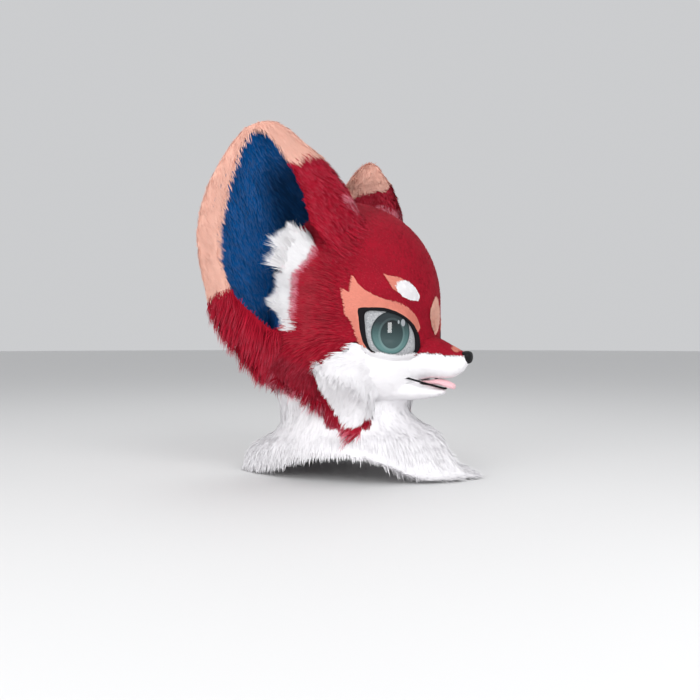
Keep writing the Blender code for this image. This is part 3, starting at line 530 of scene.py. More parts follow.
LID = "eye_lid_fur"
BACK_DOWN = one_way(-0.1, 0.40, -1.0)
# A tone near the lightest, for white coats. On the hanging cheek, the fur just ahead of it and the bib it is
# painted light, lifting the shade where the cheek faces down and between the bib's strands
BRIGHT = even(0.95)
COATS = (
    Coat("head_fur", ("head_shell",), "red_fur", "red", 37000, 0.0240, 0.0012, from_nose, growth=shaved_face,
         where=red_head, tone=red_tone, speckle=0.15, sink=0.0020, see=0.45, fill=0.9),
    Coat("temple_fur", ("head_shell",), "red_fur", "red", 6000, 0.0320, 0.0011, from_nose, where=temple,
         tone=red_tone, lean=24.0, skin="none", melted=True, spill=0.004),
    Coat("face_fur", ("lower_face",), "white_fur", "white", 12500, 0.0240, 0.0012, along_cheek,
         growth=shaved_chin, speckle=0.05, sink=0.0014, see=0.45, lean=20.0, lay=4.0, fill=0.9),
    Coat("cheek_join_fur", ("lower_face",), "white_fur", "white", 3000, 0.0220, 0.0012, along_cheek,
         where=cheek_join, tone=BRIGHT, lean=18.0, lay=2.0, skin="none", melted=True),
    *pair(Coat("ear_fur", ("ear",), "red_fur", "tipped_red", 19500, 0.0290, 0.0013, down_ear,
               growth=ear_skirt, where=red_ear, speckle=0.15, sink=0.0040, gather=0.4, spill=0.008,
               fill=0.8)),
    *pair(Coat("ear_rim_fur", ("ear_rim",), "peach_fur", "peach", 10500, 0.0140, 0.0010, down_rim,
               sink=0.0035, lean=17.0, lay=3.0, speckle=0.05, gather=0.1, spill=0.007, fill=0.8)),
    *pair(Coat("ear_tip_fur", ("ear",), "peach_fur", "peach", 3800, 0.0160, 0.0013, down_ear,
               where=ear_tip, skin="patch", sink=0.0035, spill=0.005)),
    *pair(Coat("ear_lining_fur", ("ear_lining",), "blue_lining", "blue", 9000, 0.0240, 0.0026, down_lining,
               tone=bowl_painted_shade, speckle=0.04, sink=0.0015, lean=9.0, lay=3.0, gather=0.15, mess=0.07,
               spill=0.0005)),
    *pair(Coat("ear_tuft_fur", ("ear_tuft",), "white_fur", "tuft", 6000, 0.0390, 0.0009, tuft_fan,
               growth=two_clumps, where=behind_tuft_edge, speckle=0.06, sink=0.0040, lean=22.0, lay=5.0,
               steps=3, lock=0.007, gather=0.05, mess=0.22)),
    Coat("tuft_foot_fur", ("head_shell",), "white_fur", "tuft", 2600, 0.0360, 0.0009, tuft_fan,
         growth=two_clumps, where=tuft_foot, speckle=0.06, lean=24.0, lay=6.0, steps=3, lock=0.007,
         gather=0.05, mess=0.22, skin="patch", melted=True),
    Coat("tuft_front_fur", ("ear_tuft_right", "ear_tuft_left"), "red_fur", "red", 6000, 0.0230, 0.0013,
         one_way(0.0, 1.0, 0.12), where=ahead_of_tuft_edge, tone=red_tone, lean=24.0, lay=4.0, sink=0.0040,
         mess=0.15, skin="patch"),
    Coat("tuft_fringe_fur", ("ear_tuft_right", "ear_tuft_left"), "red_fur", "red_to_white",
         3600, 0.0230, 0.0009, tuft_fan, where=at_tuft_edge, lean=26.0, lay=10.0, steps=3, gather=0.15,
         mess=0.15, skin="none"),
    Coat("ear_mouth_fur", ("head_shell",), "blue_lining", "blue", 3400, 0.0180, 0.0015, down_lining,
         growth=short_foot, where=in_ear_mouth, tone=bowl_painted_shade, lay=2.0, skin="patch", melted=True),
    Coat("ruff_fur", ("ruff",), "red_fur", "tipped_red", 22000, 0.0320, 0.0012, back_and_down,
         growth=ruff_edge, where=red_ruff, tone=ruff_painted_shade, speckle=0.15, sink=0.0020, lean=24.0, lay=2.0,
         gather=0.45, mess=0.22, droop=0.15, spill=0.004),
    Coat("ruff_tip_fur", ("ruff",), "red_fur", "red_to_white", 4200, 0.0380, 0.0009, back_and_down,
         where=ruff_hem, speckle=0.15, lean=20.0, lay=0.0, steps=2, gather=0.5, mess=0.22, droop=0.2,
         spill=0.004, skin="none"),
    Coat("chin_gap_fur", ("ruff",), "white_fur", "white", 1600, 0.0250, 0.0012, BACK_DOWN,
         where=beside_chin, sink=0.0020, lean=20.0, lay=2.0, skin="patch"),
    *pair(Coat("cheek_hair", ("cheek_fur",), "white_fur", "white", 6500, 0.0250, 0.0013, BACK_DOWN,
               tone=BRIGHT, speckle=0.08, sink=0.0015, lean=20.0, lay=2.0, gather=0.45, mess=0.24,
               spill=0.004, fill=0.6)),
    Coat("bib_fur", ("neck_bib",), "white_fur", "white", 23000, 0.0200, 0.0018, down,
         tone=BRIGHT, speckle=0.03, see=0.45, lean=9.0, lay=0.0, gather=0.12, mess=0.08, spill=0.004,
         underside=-0.5, fill=0.5),
    *pair(Coat("eye_patch_fur", ("eye_patch",), "salmon_fur", "salmon", 3600, 0.0048, 0.0010, from_nose,
               lean=26.0, see=0.002, spill=0.0008)),
    *pair(Coat("brow_spot_fur", ("brow_spot",), "white_fur", "white", 1700, 0.0058, 0.0010, from_nose,
               tone=BRIGHT, lean=28.0, see=0.002, spill=0.0020)),
    Coat("muzzle_edge_fur", ("lower_face",), "white_fur", "white", 1600, 0.0046, 0.0009,
         one_way(0.0, 0.5, 1.0), where=muzzle_edge, speckle=0.04, see=0.45, sink=0.0008, lean=26.0,
         lay=14.0, gather=0.0, spill=0.0015, skin="none"),
    *pair(Coat("brow_tail_fur", ("brow_tail",), "peach_fur", "salmon", 1100, 0.0050, 0.0010, from_nose,
               lean=28.0, see=0.002, spill=0.0008)),
    Coat("forehead_mark_fur", ("forehead_mark",), "peach_fur", "peach", 2200, 0.0048, 0.0010, from_nose,
         lean=26.0, see=0.002, spill=0.0008),
    Coat(LID, ("lower_face",), "white_fur", "white", 4400, 0.0052, 0.0009, one_way(0.0, 0.0, 1.0),
         speckle=0.04, lean=20.0, lay=10.0, gather=0.0, spill=0.0004, skin="patch"),
    Coat("bridge_spot_fur", ("head_shell",), "peach_fur", "salmon", 700, 0.0050, 0.0010, from_nose,
         where=on_bridge, see=0.45, sink=0.0008, skin="none"),
    *pair(Coat("ear_spot_fur", ("ear",), "peach_fur", "red_to_white", 900, 0.0190, 0.0010, down_ear,
               where=behind_ear, skin="none", spill=0.004)),
)
THIN = ("eye_patch", "brow_spot", "brow_tail", "forehead_mark")
ON_SKULL = ("head_shell", "lower_face")
FURRY = tuple(sorted({node for coat in COATS for node in coat.nodes if not node.startswith(THIN)}))


# Shaders
class Value:
    """A socket of a shader, with arithmetic that adds Math nodes."""

    def __init__(self, finish, socket):
        self.finish = finish
        self.socket = socket

    def _math(self, operation, first, second):
        return self.finish.node("ShaderNodeMath", {"operation": operation}, {0: first, 1: second})

    def __add__(self, other):
        return self._math("ADD", self, other)

    def __radd__(self, other):
        return self._math("ADD", other, self)

    def __sub__(self, other):
        return self._math("SUBTRACT", self, other)

    def __rsub__(self, other):
        return self._math("SUBTRACT", other, self)

    def __mul__(self, other):
        return self._math("MULTIPLY", self, other)

    def __rmul__(self, other):
        return self._math("MULTIPLY", other, self)

    def __truediv__(self, other):
        return self._math("DIVIDE", self, other)

    def __pow__(self, other):
        return self._math("POWER", self, other)

    def clamped(self):
        return self.finish.node("ShaderNodeClamp", {}, {0: self})

    def below(self, edge, soft):
        """1 where the value is under an edge and 0 over it, with a soft step between."""
        return ((edge + soft / 2 - self) / soft).clamped()


class Finish:
    """One material, built on its Principled shader."""

    def __init__(self, name, **constants):
        self.material = bpy.data.materials.new(name)
        self.material.use_nodes = True
        self.tree = self.material.node_tree
        self.shader = self.tree.nodes["Principled BSDF"]
        for socket, value in constants.items():
            self.shader.inputs[socket.replace("_", " ")].default_value = value

    def node(self, kind, settings, inputs, output=0):
        """Adds a node with its settings, then the values or links of its sockets."""
        made = self.tree.nodes.new(kind)
        for name, value in settings.items():
            if name == "stops":
                ramp = made.color_ramp
                while len(ramp.elements) < len(value):
                    ramp.elements.new(0.5)
                for element, (place, colour) in zip(ramp.elements, value):
                    element.position = place
                    element.color = (*colour, 1.0)
            else:
                setattr(made, name, value)
        for key, value in inputs.items():
            if isinstance(value, Value):
                self.tree.links.new(value.socket, made.inputs[key])
            else:
                made.inputs[key].default_value = value
        return Value(self, made.outputs[output])

    def mixed(self, share, first, second):
        """One colour over another, by a share from 0 to 1."""
        colours = {6: first, 7: second}
        for key, colour in colours.items():
            if not isinstance(colour, Value):
                colours[key] = (*colour, 1.0)
        return self.node("ShaderNodeMix", {"data_type": "RGBA"}, {0: share, **colours}, output=2)

    def map(self):
        """The two coordinates of the piece's own map."""
        place = self.node("ShaderNodeUVMap", {"uv_map": "OFBake"}, {})
        apart = self.node("ShaderNodeSeparateXYZ", {}, {0: place})
        return apart, Value(self, apart.socket.node.outputs[1]), place

    def feed(self, socket, value):
        self.tree.links.new(value.socket, self.shader.inputs[socket])
        return self

    def bump(self, height, strength, distance):
        inputs = {"Strength": strength, "Distance": distance, "Height": height}
        return self.feed("Normal", self.node("ShaderNodeBump", {}, inputs))


def mixed(colour, other, share):
    return tuple(a + (b - a) * share for a, b in zip(colour, other))


def darker(colour, share):
    return tuple(c * share for c in colour)


def fur_finish(name, shadow, stops):
    """Fur with stops from root to tip, each strand between that and a shadow colour by its tone."""
    fur = Finish(name, Roughness=0.70, Specular_IOR_Level=0.10)
    tone, along, _ = fur.map()
    light = fur.node("ShaderNodeValToRGB", {"stops": stops}, {0: along})
    return fur.feed("Base Color", fur.mixed(tone.clamped(), shadow, light)).material


def coat_materials(colours):
    """The fur materials by the colour names that the coats use."""
    white = (1.0, 1.0, 1.0)
    made = {}
    for name, colour, deep, root, pale in (
        ("red", colours.red, 0.26, 0.62, 0.04),
        ("peach", colours.peach, 0.76, 0.88, 0.10),
        ("salmon", colours.salmon, 0.70, 0.85, 0.04),
        ("blue", colours.blue, 0.22, 0.80, 0.06),
        ("white", colours.white, 0.92, 0.98, 0.25),
    ):
        colour = tuple(colour)
        # Each fur is darker at its roots: painted shade between the strands
        stops = ((0.0, darker(colour, root)), (0.5, colour), (0.95, mixed(colour, white, pale)))
        made[name] = fur_finish(name + "_fur", darker(colour, deep), stops)
    red, pale, pink = tuple(colours.red), tuple(colours.white), tuple(colours.tuft_root)
    tips = (0.80, mixed(red, pink, 0.08)), (1.0, mixed(red, pink, 0.45))
    # Its roots too are darker, painted shade between the strands
    stops = ((0.0, darker(red, 0.6)), (0.45, red), *tips)
    made["tipped_red"] = fur_finish("tipped_red_fur", darker(red, 0.26), stops)
    stops = ((0.0, red), (0.06, pink), (0.16, mixed(pale, white, 0.4)), (1.0, mixed(pale, white, 0.6)))
    made["tuft"] = fur_finish("tuft_fur", darker(pale, 0.90), stops)
    stops = ((0.0, red), (0.40, red), (0.75, pink), (1.0, mixed(pale, red, 0.15)))
    made["red_to_white"] = fur_finish("red_to_white_fur", darker(red, 0.5), stops)
    return made


# Meshes
def ray_tree(names):
    """A ray tree of some CAD nodes together, and which of them each of its faces is of."""
    points, faces, owner_of = [], [], []
    for index, name in enumerate(names):
        data = frame["nodes"][name].data
        start = len(points)
        points += [vert.co.copy() for vert in data.vertices]
        faces += [tuple(start + i for i in face.vertices) for face in data.polygons]
        owner_of += [index] * len(data.polygons)
    return BVHTree.FromPolygons(points, faces), owner_of


def shared_trees():
    """Ray trees of each CAD node and of all of them together."""
    nodes = frame["nodes"]
    return {name: ray_tree([name])[0] for name in nodes}, ray_tree(nodes)[0]


def hits(tree, points, normals, start, reach):
    """Which points have something in front of them within a reach."""
    found = np.zeros(len(points), bool)
    for i, (point, normal) in enumerate(zip(points, normals)):
        way = Vector(normal)
        found[i] = tree.ray_cast(Vector(point) + way * start, way, reach)[0] is not None
    return found


class Skin(NamedTuple):
    """A fine copy of a solid, with what of it can carry fur."""

    points: np.ndarray
    faces: np.ndarray
    bare: np.ndarray
    normals: np.ndarray


def fine_copy(name, longest):
    """A copy of a CAD node with short edges and triangles only."""
    bm = bmesh.new()
    bm.from_mesh(frame["nodes"][name].data)
    bmesh.ops.remove_doubles(bm, verts=bm.verts, dist=WELD)
    for _ in range(5):
        edges = [edge for edge in bm.edges if edge.calc_length() > longest]
        if not edges:
            break
        bmesh.ops.subdivide_edges(bm, edges=edges, cuts=1)
        bmesh.ops.triangulate(bm, faces=bm.faces)
    return bm


def smoothed(bm, rounds, on_skull, sharpest=SHARPEST):
    """Takes the facets away, and leaves the edges that are sharper than some degrees where they are."""
    sharp = {
        vert
        for edge in bm.edges
        if not edge.is_manifold or edge.calc_face_angle(0.0) > math.radians(sharpest)
        for vert in edge.verts
    }
    if on_skull:
        points = np.array([vert.co for vert in bm.verts])
        near = np.abs(skull_lift(points)) < 0.0025
        for vert, place, snap in zip(bm.verts, at_lift(points, 0.0), near):
            if snap:
                vert.co = place
                sharp.add(vert)
    free = [vert for vert in bm.verts if vert not in sharp]
    for _ in range(rounds):
        bmesh.ops.smooth_vert(bm, verts=free, factor=0.5, use_axis_x=True, use_axis_y=True, use_axis_z=True)


def corner_places(bm):
    points = np.array([vert.co for vert in bm.verts])
    faces = np.array([[vert.index for vert in face.verts] for face in bm.faces])
    return points, faces


def face_ways(points, faces):
    """The middle of each face, and its normal as long as twice its area."""
    corners = points[faces]
    ways = np.cross(corners[:, 1] - corners[:, 0], corners[:, 2] - corners[:, 0])
    return corners.mean(axis=1), ways


def to_right(points):
    """What turns each point of the left side into its twin on the right side."""
    side = np.where(points[:, :1] > 0, -1.0, 1.0)
    return np.concatenate([side, np.ones((len(points), 2))], axis=1)


def corner_normals(ways, faces):
    """A normal for each corner of each face, smooth over the faces round it that point about the same way."""
    flat = unit(ways)
    own_face = np.repeat(np.arange(len(faces)), 3)
    order = np.argsort(faces.ravel(), kind="stable")
    starts = np.searchsorted(faces.ravel()[order], np.arange(faces.max() + 2))
    counts = np.diff(starts)
    total = np.zeros((len(own_face), 3))
    at = faces.ravel()
    for turn in range(counts.max()):
        there = turn < counts[at]
        other = own_face[order[np.minimum(starts[at] + turn, len(order) - 1)]]
        alike = there & ((flat[own_face] * flat[other]).sum(axis=1) > CREASE)
        total += ways[other] * alike[:, None]
    return unit(total).reshape(-1, 3, 3)


def beside(faces):
    """The two ends of every edge, both ways round, and how many neighbours each point has."""
    ends = np.concatenate([faces[:, [0, 1]], faces[:, [1, 2]], faces[:, [2, 0]]])
    ends = np.unique(np.sort(ends, axis=1), axis=0)
    ends = np.concatenate([ends, ends[:, ::-1]])
    return ends[:, 0], ends[:, 1], np.maximum(np.bincount(ends[:, 0]), 1)


def averaged(values, near):
    """The mean of each point's neighbours."""
    here, there, count = near
    rows = [np.bincount(here, column[there], len(count)) / count for column in values.T]
    return np.stack(rows, axis=1)


def point_ways(points, faces):
    total = np.zeros_like(points)
    ways = face_ways(points, faces)[1]
    for corner in range(3):
        for axis in range(3):
            total[:, axis] += np.bincount(faces[:, corner], ways[:, axis], len(points))
    return unit(total)


def remeshed(names, grain):
    """One even surface over some CAD nodes, as points and triangles."""
    bm = bmesh.new()
    for name in names:
        bm.from_mesh(frame["nodes"][name].data)
    mesh = bpy.data.meshes.new("melting")
    bm.to_mesh(mesh)
    obj = bpy.data.objects.new("melting", mesh)
    bpy.context.scene.collection.objects.link(obj)
    melt = obj.modifiers.new("melt", "REMESH")
    melt.mode = "VOXEL"
    melt.voxel_size = grain
    melted = obj.evaluated_get(bpy.context.evaluated_depsgraph_get())
    bm.clear()
    bm.from_mesh(melted.to_mesh())
    bmesh.ops.triangulate(bm, faces=bm.faces)
    points, faces = corner_places(bm)
    bm.free()
    bpy.data.objects.remove(obj)
    bpy.data.meshes.remove(mesh)
    return points, faces


class Melted(NamedTuple):
    """The soft skin over all the furry solids, and which of them each of its faces covers."""

    points: np.ndarray
    faces: np.ndarray
    normals: np.ndarray
    owners: np.ndarray
    raised: np.ndarray


def cheek_crease(points):
    """Round the front edge of the hanging cheek, where the white fur runs on over it."""
    along = ease((points[:, 1] + 0.088) / 0.015) * ease((0.0 - points[:, 1]) / 0.02)
    return along * ease((points[:, 2] - 0.125) / 0.015) * ease((0.225 - points[:, 2]) / 0.015)


def melted_skin():
    """Melts the furry solids together, so that no seam or crease is left where one meets another."""
    points, faces = remeshed(FURRY, GRAIN)
    near = beside(faces)
    for _ in range(SMOOTH_ROUNDS):
        points = points + SHRINK * (averaged(points, near) - points)
        points = points - SWELL * (averaged(points, near) - points)
    tree, owner_of = ray_tree(FURRY)
    middles, ways = face_ways(points, faces)
    owners = np.array([owner_of[tree.find_nearest(Vector(middle))[2]] for middle in middles])
    votes = np.stack([
        sum(np.bincount(faces[:, corner], owners == index, len(points)) for corner in range(3))
        for index in range(len(FURRY))
    ], axis=1)
    for _ in range(VOTE_ROUNDS):
        votes = averaged(votes, near)
    owners = votes[faces].sum(axis=1).argmax(axis=1)
    flip = to_right(middles)
    outside = ((BOWL_MIDDLE + 0.06 * EAR_OUT - middles * flip) * ways * flip).sum(axis=1) < 0
    for side, _ in SIDES:
        lining = owners == FURRY.index(f"ear_lining_{side}")
        owners[lining & outside] = FURRY.index(f"ear_rim_{side}")
    white = (owners == FURRY.index("head_shell")) & under_cheek(middles * flip)
    owners[white] = FURRY.index("lower_face")
    still = np.array([name == "neck_bib" or name.startswith("ear_lining") for name in FURRY])[owners]
    still |= middles[:, 1] < FACE_FRONT_Y
    free = np.ones((len(points), 1))
    free[faces[still].ravel()] = 0.0
    for _ in range(3):
        free = np.minimum(free, averaged(free, near))
    for turn in range(FILL_ROUNDS + CHEEK_ROUNDS):
        if turn % NORMAL_ROUNDS == 0:
            normals = point_ways(points, faces)
        if turn == FILL_ROUNDS:
            free *= cheek_crease(points)[:, None]
        move = averaged(points, near) - points
        outward = (move * normals).sum(axis=1, keepdims=True) > 0
        points = points + 0.5 * move * outward * free
    raised = np.zeros(len(points))
    for i, point in enumerate(points):
        place, way, _, far = tree.find_nearest(Vector(point))
        raised[i] = far * np.sign((Vector(point) - place).dot(way))
    sinks = np.zeros(len(FURRY))
    for coat in COATS:
        for node in coat.nodes:
            if coat.skin == "own" and node in FURRY:
                sinks[FURRY.index(node)] = MELTED_SINK * coat.sink
    sink = np.zeros((len(points), 1))
    sink[faces.ravel(), 0] = np.repeat(sinks[owners], 3)
    for _ in range(SMOOTH_ROUNDS):
        sink = averaged(sink, near)
    points = points - sink * point_ways(points, faces)
    points[:, 2] = np.maximum(points[:, 2], SKIN_FLOOR)
    return Melted(points, faces, corner_normals(face_ways(points, faces)[1], faces), owners, raised)


def soft_part(name, coat, trees, soft, bumps):
    """The faces of the soft skin that belong to one coat on one solid."""
    middles, ways = face_ways(soft.points, soft.faces)
    inside = coat.where(middles * to_right(middles)) > 0.1
    if coat.skin == "none":
        corners = soft.points[soft.faces].reshape(-1, 3)
        inside |= (coat.where(corners * to_right(corners)) > 0.1).reshape(-1, 3).any(axis=1)
    kept = (soft.owners == FURRY.index(name)) & inside
    if bumps:
        kept &= (soft.raised[soft.faces].max(axis=1) > BUMP_HEIGHT) & (middles[:, 1] > FLAT_FRONT_Y)
    faces, normals, ways = soft.faces[kept], soft.normals[kept], unit(ways[kept])
    bare = ways[:, 2] > coat.underside
    if coat.see:
        bare &= ~hits(trees[name], middles[kept], ways, SOFT_RAY_START, coat.see)
    points = soft.points
    if name in ON_SKULL:
        lift = np.zeros_like(points)
        lift[faces.ravel()] = (PATCH_LIFT if coat.skin == "patch" else 0.0) * normals.reshape(-1, 3)
        points = points + lift
    used, faces = np.unique(faces.ravel(), return_inverse=True)
    return Skin(points[used], faces.reshape(-1, 3), bare, normals)


def joined(first, second):
    faces = np.concatenate([first.faces, second.faces + len(first.points)])
    points = np.concatenate([first.points, second.points])
    bare, normals = np.concatenate([first.bare, second.bare]), np.concatenate([first.normals, second.normals])
    return Skin(points, faces, bare, normals)


def lid_skin():
    """A narrow strip from the top of the muzzle to the glass of each eye."""
    turns = np.linspace(19.5, 60.5, 42)
    tops, feet = np.interp(turns, *zip(*LID_TOP)), np.interp(turns, *zip(*MUZZLE_TOP)) - 0.004
    rows = [
        [skull_at(turn, foot + (top - foot) * share, lift) for turn, foot, top in zip(turns, feet, tops)]
        for share, lift in ((0.0, -0.0010), (0.35, 0.0008), (0.8, 0.0013), (1.0, 0.0006))
    ]
    right = np.array(rows).reshape(-1, 3)
    first = (np.arange(3)[:, None] * len(turns) + np.arange(len(turns) - 1)).reshape(-1, 1)
    faces = np.concatenate([first + [0, len(turns), 1], first + [1, len(turns), len(turns) + 1]])
    middles, ways = face_ways(right, faces)
    if (ways * (middles - np.array(SKULL_AT))).sum() < 0:
        faces = faces[:, ::-1]
    points = np.concatenate([right, right * np.array((-1.0, 1.0, 1.0))])
    faces = np.concatenate([faces, faces[:, ::-1] + len(right)])
    normals = corner_normals(face_ways(points, faces)[1], faces)
    return Skin(points, faces, np.ones(len(faces), bool), normals)


def open_to_sight(tree, middles, ways, reach):
    """Which faces see out, straight ahead or outward from the middle of the head."""
    outward = unit((middles - np.array(SKULL_AT)) * np.array((1.0, 1.0, 0.0)))
    facing = (outward * ways).sum(axis=1) > 0.1
    aside = unit(outward + 0.3 * ways)
    ahead = ~hits(tree, middles, ways, RAY_START, reach)
    return ahead | (facing & ~hits(tree, middles, aside, RAY_START, reach))


def skin_of(name, coat, trees, every, soft):
    """What a coat grows on: a part of the soft skin, or a sunk fine copy of the solid, or both."""
    thin = name.startswith(THIN)
    if not thin and (coat.melted or name not in ON_SKULL):
        return soft_part(name, coat, trees, soft, bumps=False)
    if coat.name == LID:
        return lid_skin()
    bm = fine_copy(name, THIN_EDGE if thin else FULL_EDGE)
    points, faces = corner_places(bm)
    middles, ways = face_ways(points, faces)
    outer = open_to_sight(trees[name], middles, unit(ways), coat.see)
    bare = outer & ~hits(every, middles, unit(ways), RAY_START, COVERED_WITHIN)
    if thin:
        bare &= skull_lift(middles) > BARE_LIFT
    else:
        smoothed(bm, 10, True, JAW_SHARPEST if name == "lower_face" else SHARPEST)
        points = corner_places(bm)[0]
        ways = face_ways(points, faces)[1]
    bm.free()
    if thin:
        normals = unit(points - np.array(SKULL_AT))[faces]
        return Skin(at_lift(points, THIN_SHARE * skull_lift(points) - THIN_DROP), faces, bare, normals)
    normals = corner_normals(ways, faces)
    pile = coat.growth(points * to_right(points))
    points = points - point_ways(points, faces) * (coat.sink * (0.6 + pile))[:, None]
    points[:, 2] = np.maximum(points[:, 2], SKIN_FLOOR)
    skin = Skin(points, faces, bare, normals)
    return joined(skin, soft_part(name, coat, trees, soft, bumps=True)) if coat.skin == "own" else skin


def scattered(skin, count, rng, density):
    """Roots spread over the bare part of a skin, with the surface's normals."""
    corners = skin.points[skin.faces]
    area = np.linalg.norm(np.cross(corners[:, 1] - corners[:, 0], corners[:, 2] - corners[:, 0]), axis=1)
    most = np.maximum.reduce([density(corners.mean(axis=1))] + [density(corners[:, k]) for k in range(3)])
    area *= skin.bare * most
    tries = TRIES * count
    chosen = rng.choice(len(area), size=tries, p=area / area.sum())
    first, second = np.sqrt(rng.random(tries)), rng.random(tries)
    shares = np.stack([1 - first, first * (1 - second), first * second], axis=1)[:, :, None]
    roots = (corners[chosen] * shares).sum(axis=1)
    kept = np.flatnonzero(rng.random(tries) * most[chosen] < density(roots))[:count]
    return roots[kept], unit((skin.normals[chosen[kept]] * shares[kept]).sum(axis=1))


def gathered(paths, roots, size, share, rng):
    """Draws the strands' tips towards the nearest of some chosen strands, so that they lie in locks."""
    if share <= 0:
        return paths
    spread = np.ptp(roots, axis=0)
    count = int(min(len(roots) / 6, max(12, spread[0] * spread[2] * 3 / size**2)))
    chosen = rng.choice(len(roots), size=count, replace=False)
    tree = KDTree(count)
    for i, index in enumerate(chosen):
        tree.insert(Vector(roots[index]), i)
    tree.balance()
    nearest = chosen[np.array([tree.find(Vector(root))[1] for root in roots])]
    along = np.linspace(0, 1, paths.shape[1])[None, :, None]
    aim = paths[nearest]
    near = np.linalg.norm(roots - roots[nearest], axis=1)[:, None, None] < 1.6 * size
    return paths + (aim - paths) * near * share * along**1.3


def strands(coat, skin, rng):
    """Flat tapering strands on a skin, as the six arrays that piece_from takes."""
    count = coat.strands // len(coat.nodes)

    def density(points):
        right = points * to_right(points)
        return coat.where(right) / (0.35 + 0.65 * coat.growth(right))

    roots, normals = scattered(skin, count, rng, density)
    count = len(roots)
    flip = to_right(roots)
    right = roots * flip
    way = unit(coat.comb(right, normals * flip) * flip)
    tone = coat.tone(right)
    streaks = roots - STREAK_STRETCH * way * (roots * way).sum(axis=1, keepdims=True)
    tone = tone + STREAK_TONE * ripple(streaks, STREAK_SIZE, 8) + coat.speckle * rng.normal(size=count)
    swirl = np.stack([ripple(roots, SWIRL_SIZE, seed) for seed in (3, 4, 5)], axis=1)
    way = way + coat.mess * (swirl + 0.5 * rng.normal(size=(count, 3)))
    way = unit(way - normals * (way * normals).sum(axis=1, keepdims=True))
    roots = roots + way * rng.uniform(-coat.spill, coat.spill, (count, 1))
    roots = roots + np.cross(way, normals) * rng.uniform(-0.6 * coat.spill, 0.6 * coat.spill, (count, 1))
    length = coat.length * coat.growth(right) * rng.uniform(*LENGTHS, count)
    paths, headings = [roots - normals * ROOT_DEPTH], []
    for step in range(coat.steps):
        share = (step + 0.5) / coat.steps
        angle = np.radians(coat.lean + (coat.lay - coat.lean) * share + 6 * rng.normal(size=count))
        heading = way * np.cos(angle)[:, None] + normals * np.sin(angle)[:, None]
        heading = unit(heading + np.array((0, 0, -coat.droop)) * share)
        headings.append(heading)
        paths.append(paths[-1] + heading * (length / coat.steps)[:, None])
    paths = gathered(np.stack(paths, axis=1), roots, coat.lock, coat.gather, rng)
    paths[:, :, 2] = np.maximum(paths[:, :, 2], PATH_FLOOR)
    across = unit(np.cross(way, normals) + 0.2 * rng.normal(size=(count, 3)))
    width = coat.width * rng.uniform(*WIDTHS, count) / 2
    points, maps, facing = [], [], []
    tone = np.clip(tone, 0.02, 0.98)
    for step in range(coat.steps + 1):
        ahead = headings[min(step, coat.steps - 1)]
        own = unit(np.cross(across, ahead))
        outward = np.sign((own * normals).sum(axis=1, keepdims=True))
        shade = unit(normals + 0.35 * own * outward + 0.12 * ahead)
        half = across * (width * (1 - 0.5 * (step / coat.steps) ** 2))[:, None]
        spot = np.stack([tone, np.full(count, 0.12 + 0.86 * step / coat.steps)], axis=1)
        row = (paths[:, step] - half, paths[:, step] + half) if step < coat.steps else (paths[:, step],)
        points += row
        maps += [spot] * len(row)
        facing += [shade] * len(row)
    stride = 2 * coat.steps + 1
    start = np.arange(count)[:, None] * stride
    quads = [start + np.array([[2 * s, 2 * s + 1, 2 * s + 3, 2 * s + 2]]) for s in range(coat.steps - 1)]
    last = 2 * (coat.steps - 1)
    tips = start + np.array([[last, last + 1, last + 2]])
    places = np.stack(points, axis=1).reshape(-1, 3)
    places[:, 2] = np.maximum(places[:, 2], STRAND_FLOOR)
    quads = np.concatenate(quads)
    maps, facing = (np.stack(rows, axis=1).reshape(len(places), -1) for rows in (maps, facing))
    return places, quads, tips, maps, facing[quads], facing[tips]


def piece_from(name, parts, material):
    """One mesh from parts: points, faces of 4 and of 3, a map of tone and place by point, corner normals."""
    points = np.concatenate([part[0] for part in parts])
    starts = np.cumsum([0] + [len(part[0]) for part in parts[:-1]])
    quads = np.concatenate([part[1] + start for part, start in zip(parts, starts)]).astype(np.int32)
    tips = np.concatenate([part[2] + start for part, start in zip(parts, starts)]).astype(np.int32)
    maps = np.concatenate([part[3] for part in parts])
    normals = [part[4].reshape(-1, 3) for part in parts] + [part[5].reshape(-1, 3) for part in parts]
    corners = np.concatenate([quads.ravel(), tips.ravel()])
    mesh = bpy.data.meshes.new(name)
    mesh.vertices.add(len(points))
    mesh.vertices.foreach_set("co", points.astype(np.float32).ravel())
    mesh.loops.add(len(corners))
    mesh.loops.foreach_set("vertex_index", corners)
    mesh.polygons.add(len(quads) + len(tips))
    begins = np.concatenate([np.arange(len(quads)) * 4, 4 * len(quads) + np.arange(len(tips)) * 3])
    mesh.polygons.foreach_set("loop_start", begins.astype(np.int32))
    mesh.update(calc_edges=True)
    layer = mesh.uv_layers.new(name="OFBake")
    layer.data.foreach_set("uv", maps[corners].astype(np.float32).ravel())
    mesh.shade_smooth()
    mesh.normals_split_custom_set(np.concatenate(normals).astype(np.float32))
    return placed(mesh, name, material)


def placed(mesh, name, material):
    obj = bpy.data.objects.new(name, mesh)
    bpy.context.scene.collection.objects.link(obj)
    mesh.materials.append(material)
    return obj


def from_bmesh(bm, name, material, smooth=True, turned=False):
    """A bmesh as a piece, whose faces are made to face outward unless they are turned so already."""
    if not turned:
        bmesh.ops.recalc_face_normals(bm, faces=bm.faces)
    mesh = bpy.data.meshes.new(name)
    bm.to_mesh(mesh)
    bm.free()
    if smooth:
        mesh.shade_smooth()
    return placed(mesh, name, material)


def skin_part(coat, skin):
    """A skin as a part of a piece, toned as the strands on it are."""
    right = skin.points * to_right(skin.points)
    tone = np.clip(coat.tone(right) + 0.10 * ripple(skin.points, 0.06, 8), 0.02, 0.98)
    spots = np.stack([tone, np.full(len(tone), SKIN_ALONG)], axis=1)
    return skin.points, np.zeros((0, 4), int), skin.faces, spots, np.zeros((0, 4, 3)), skin.normals


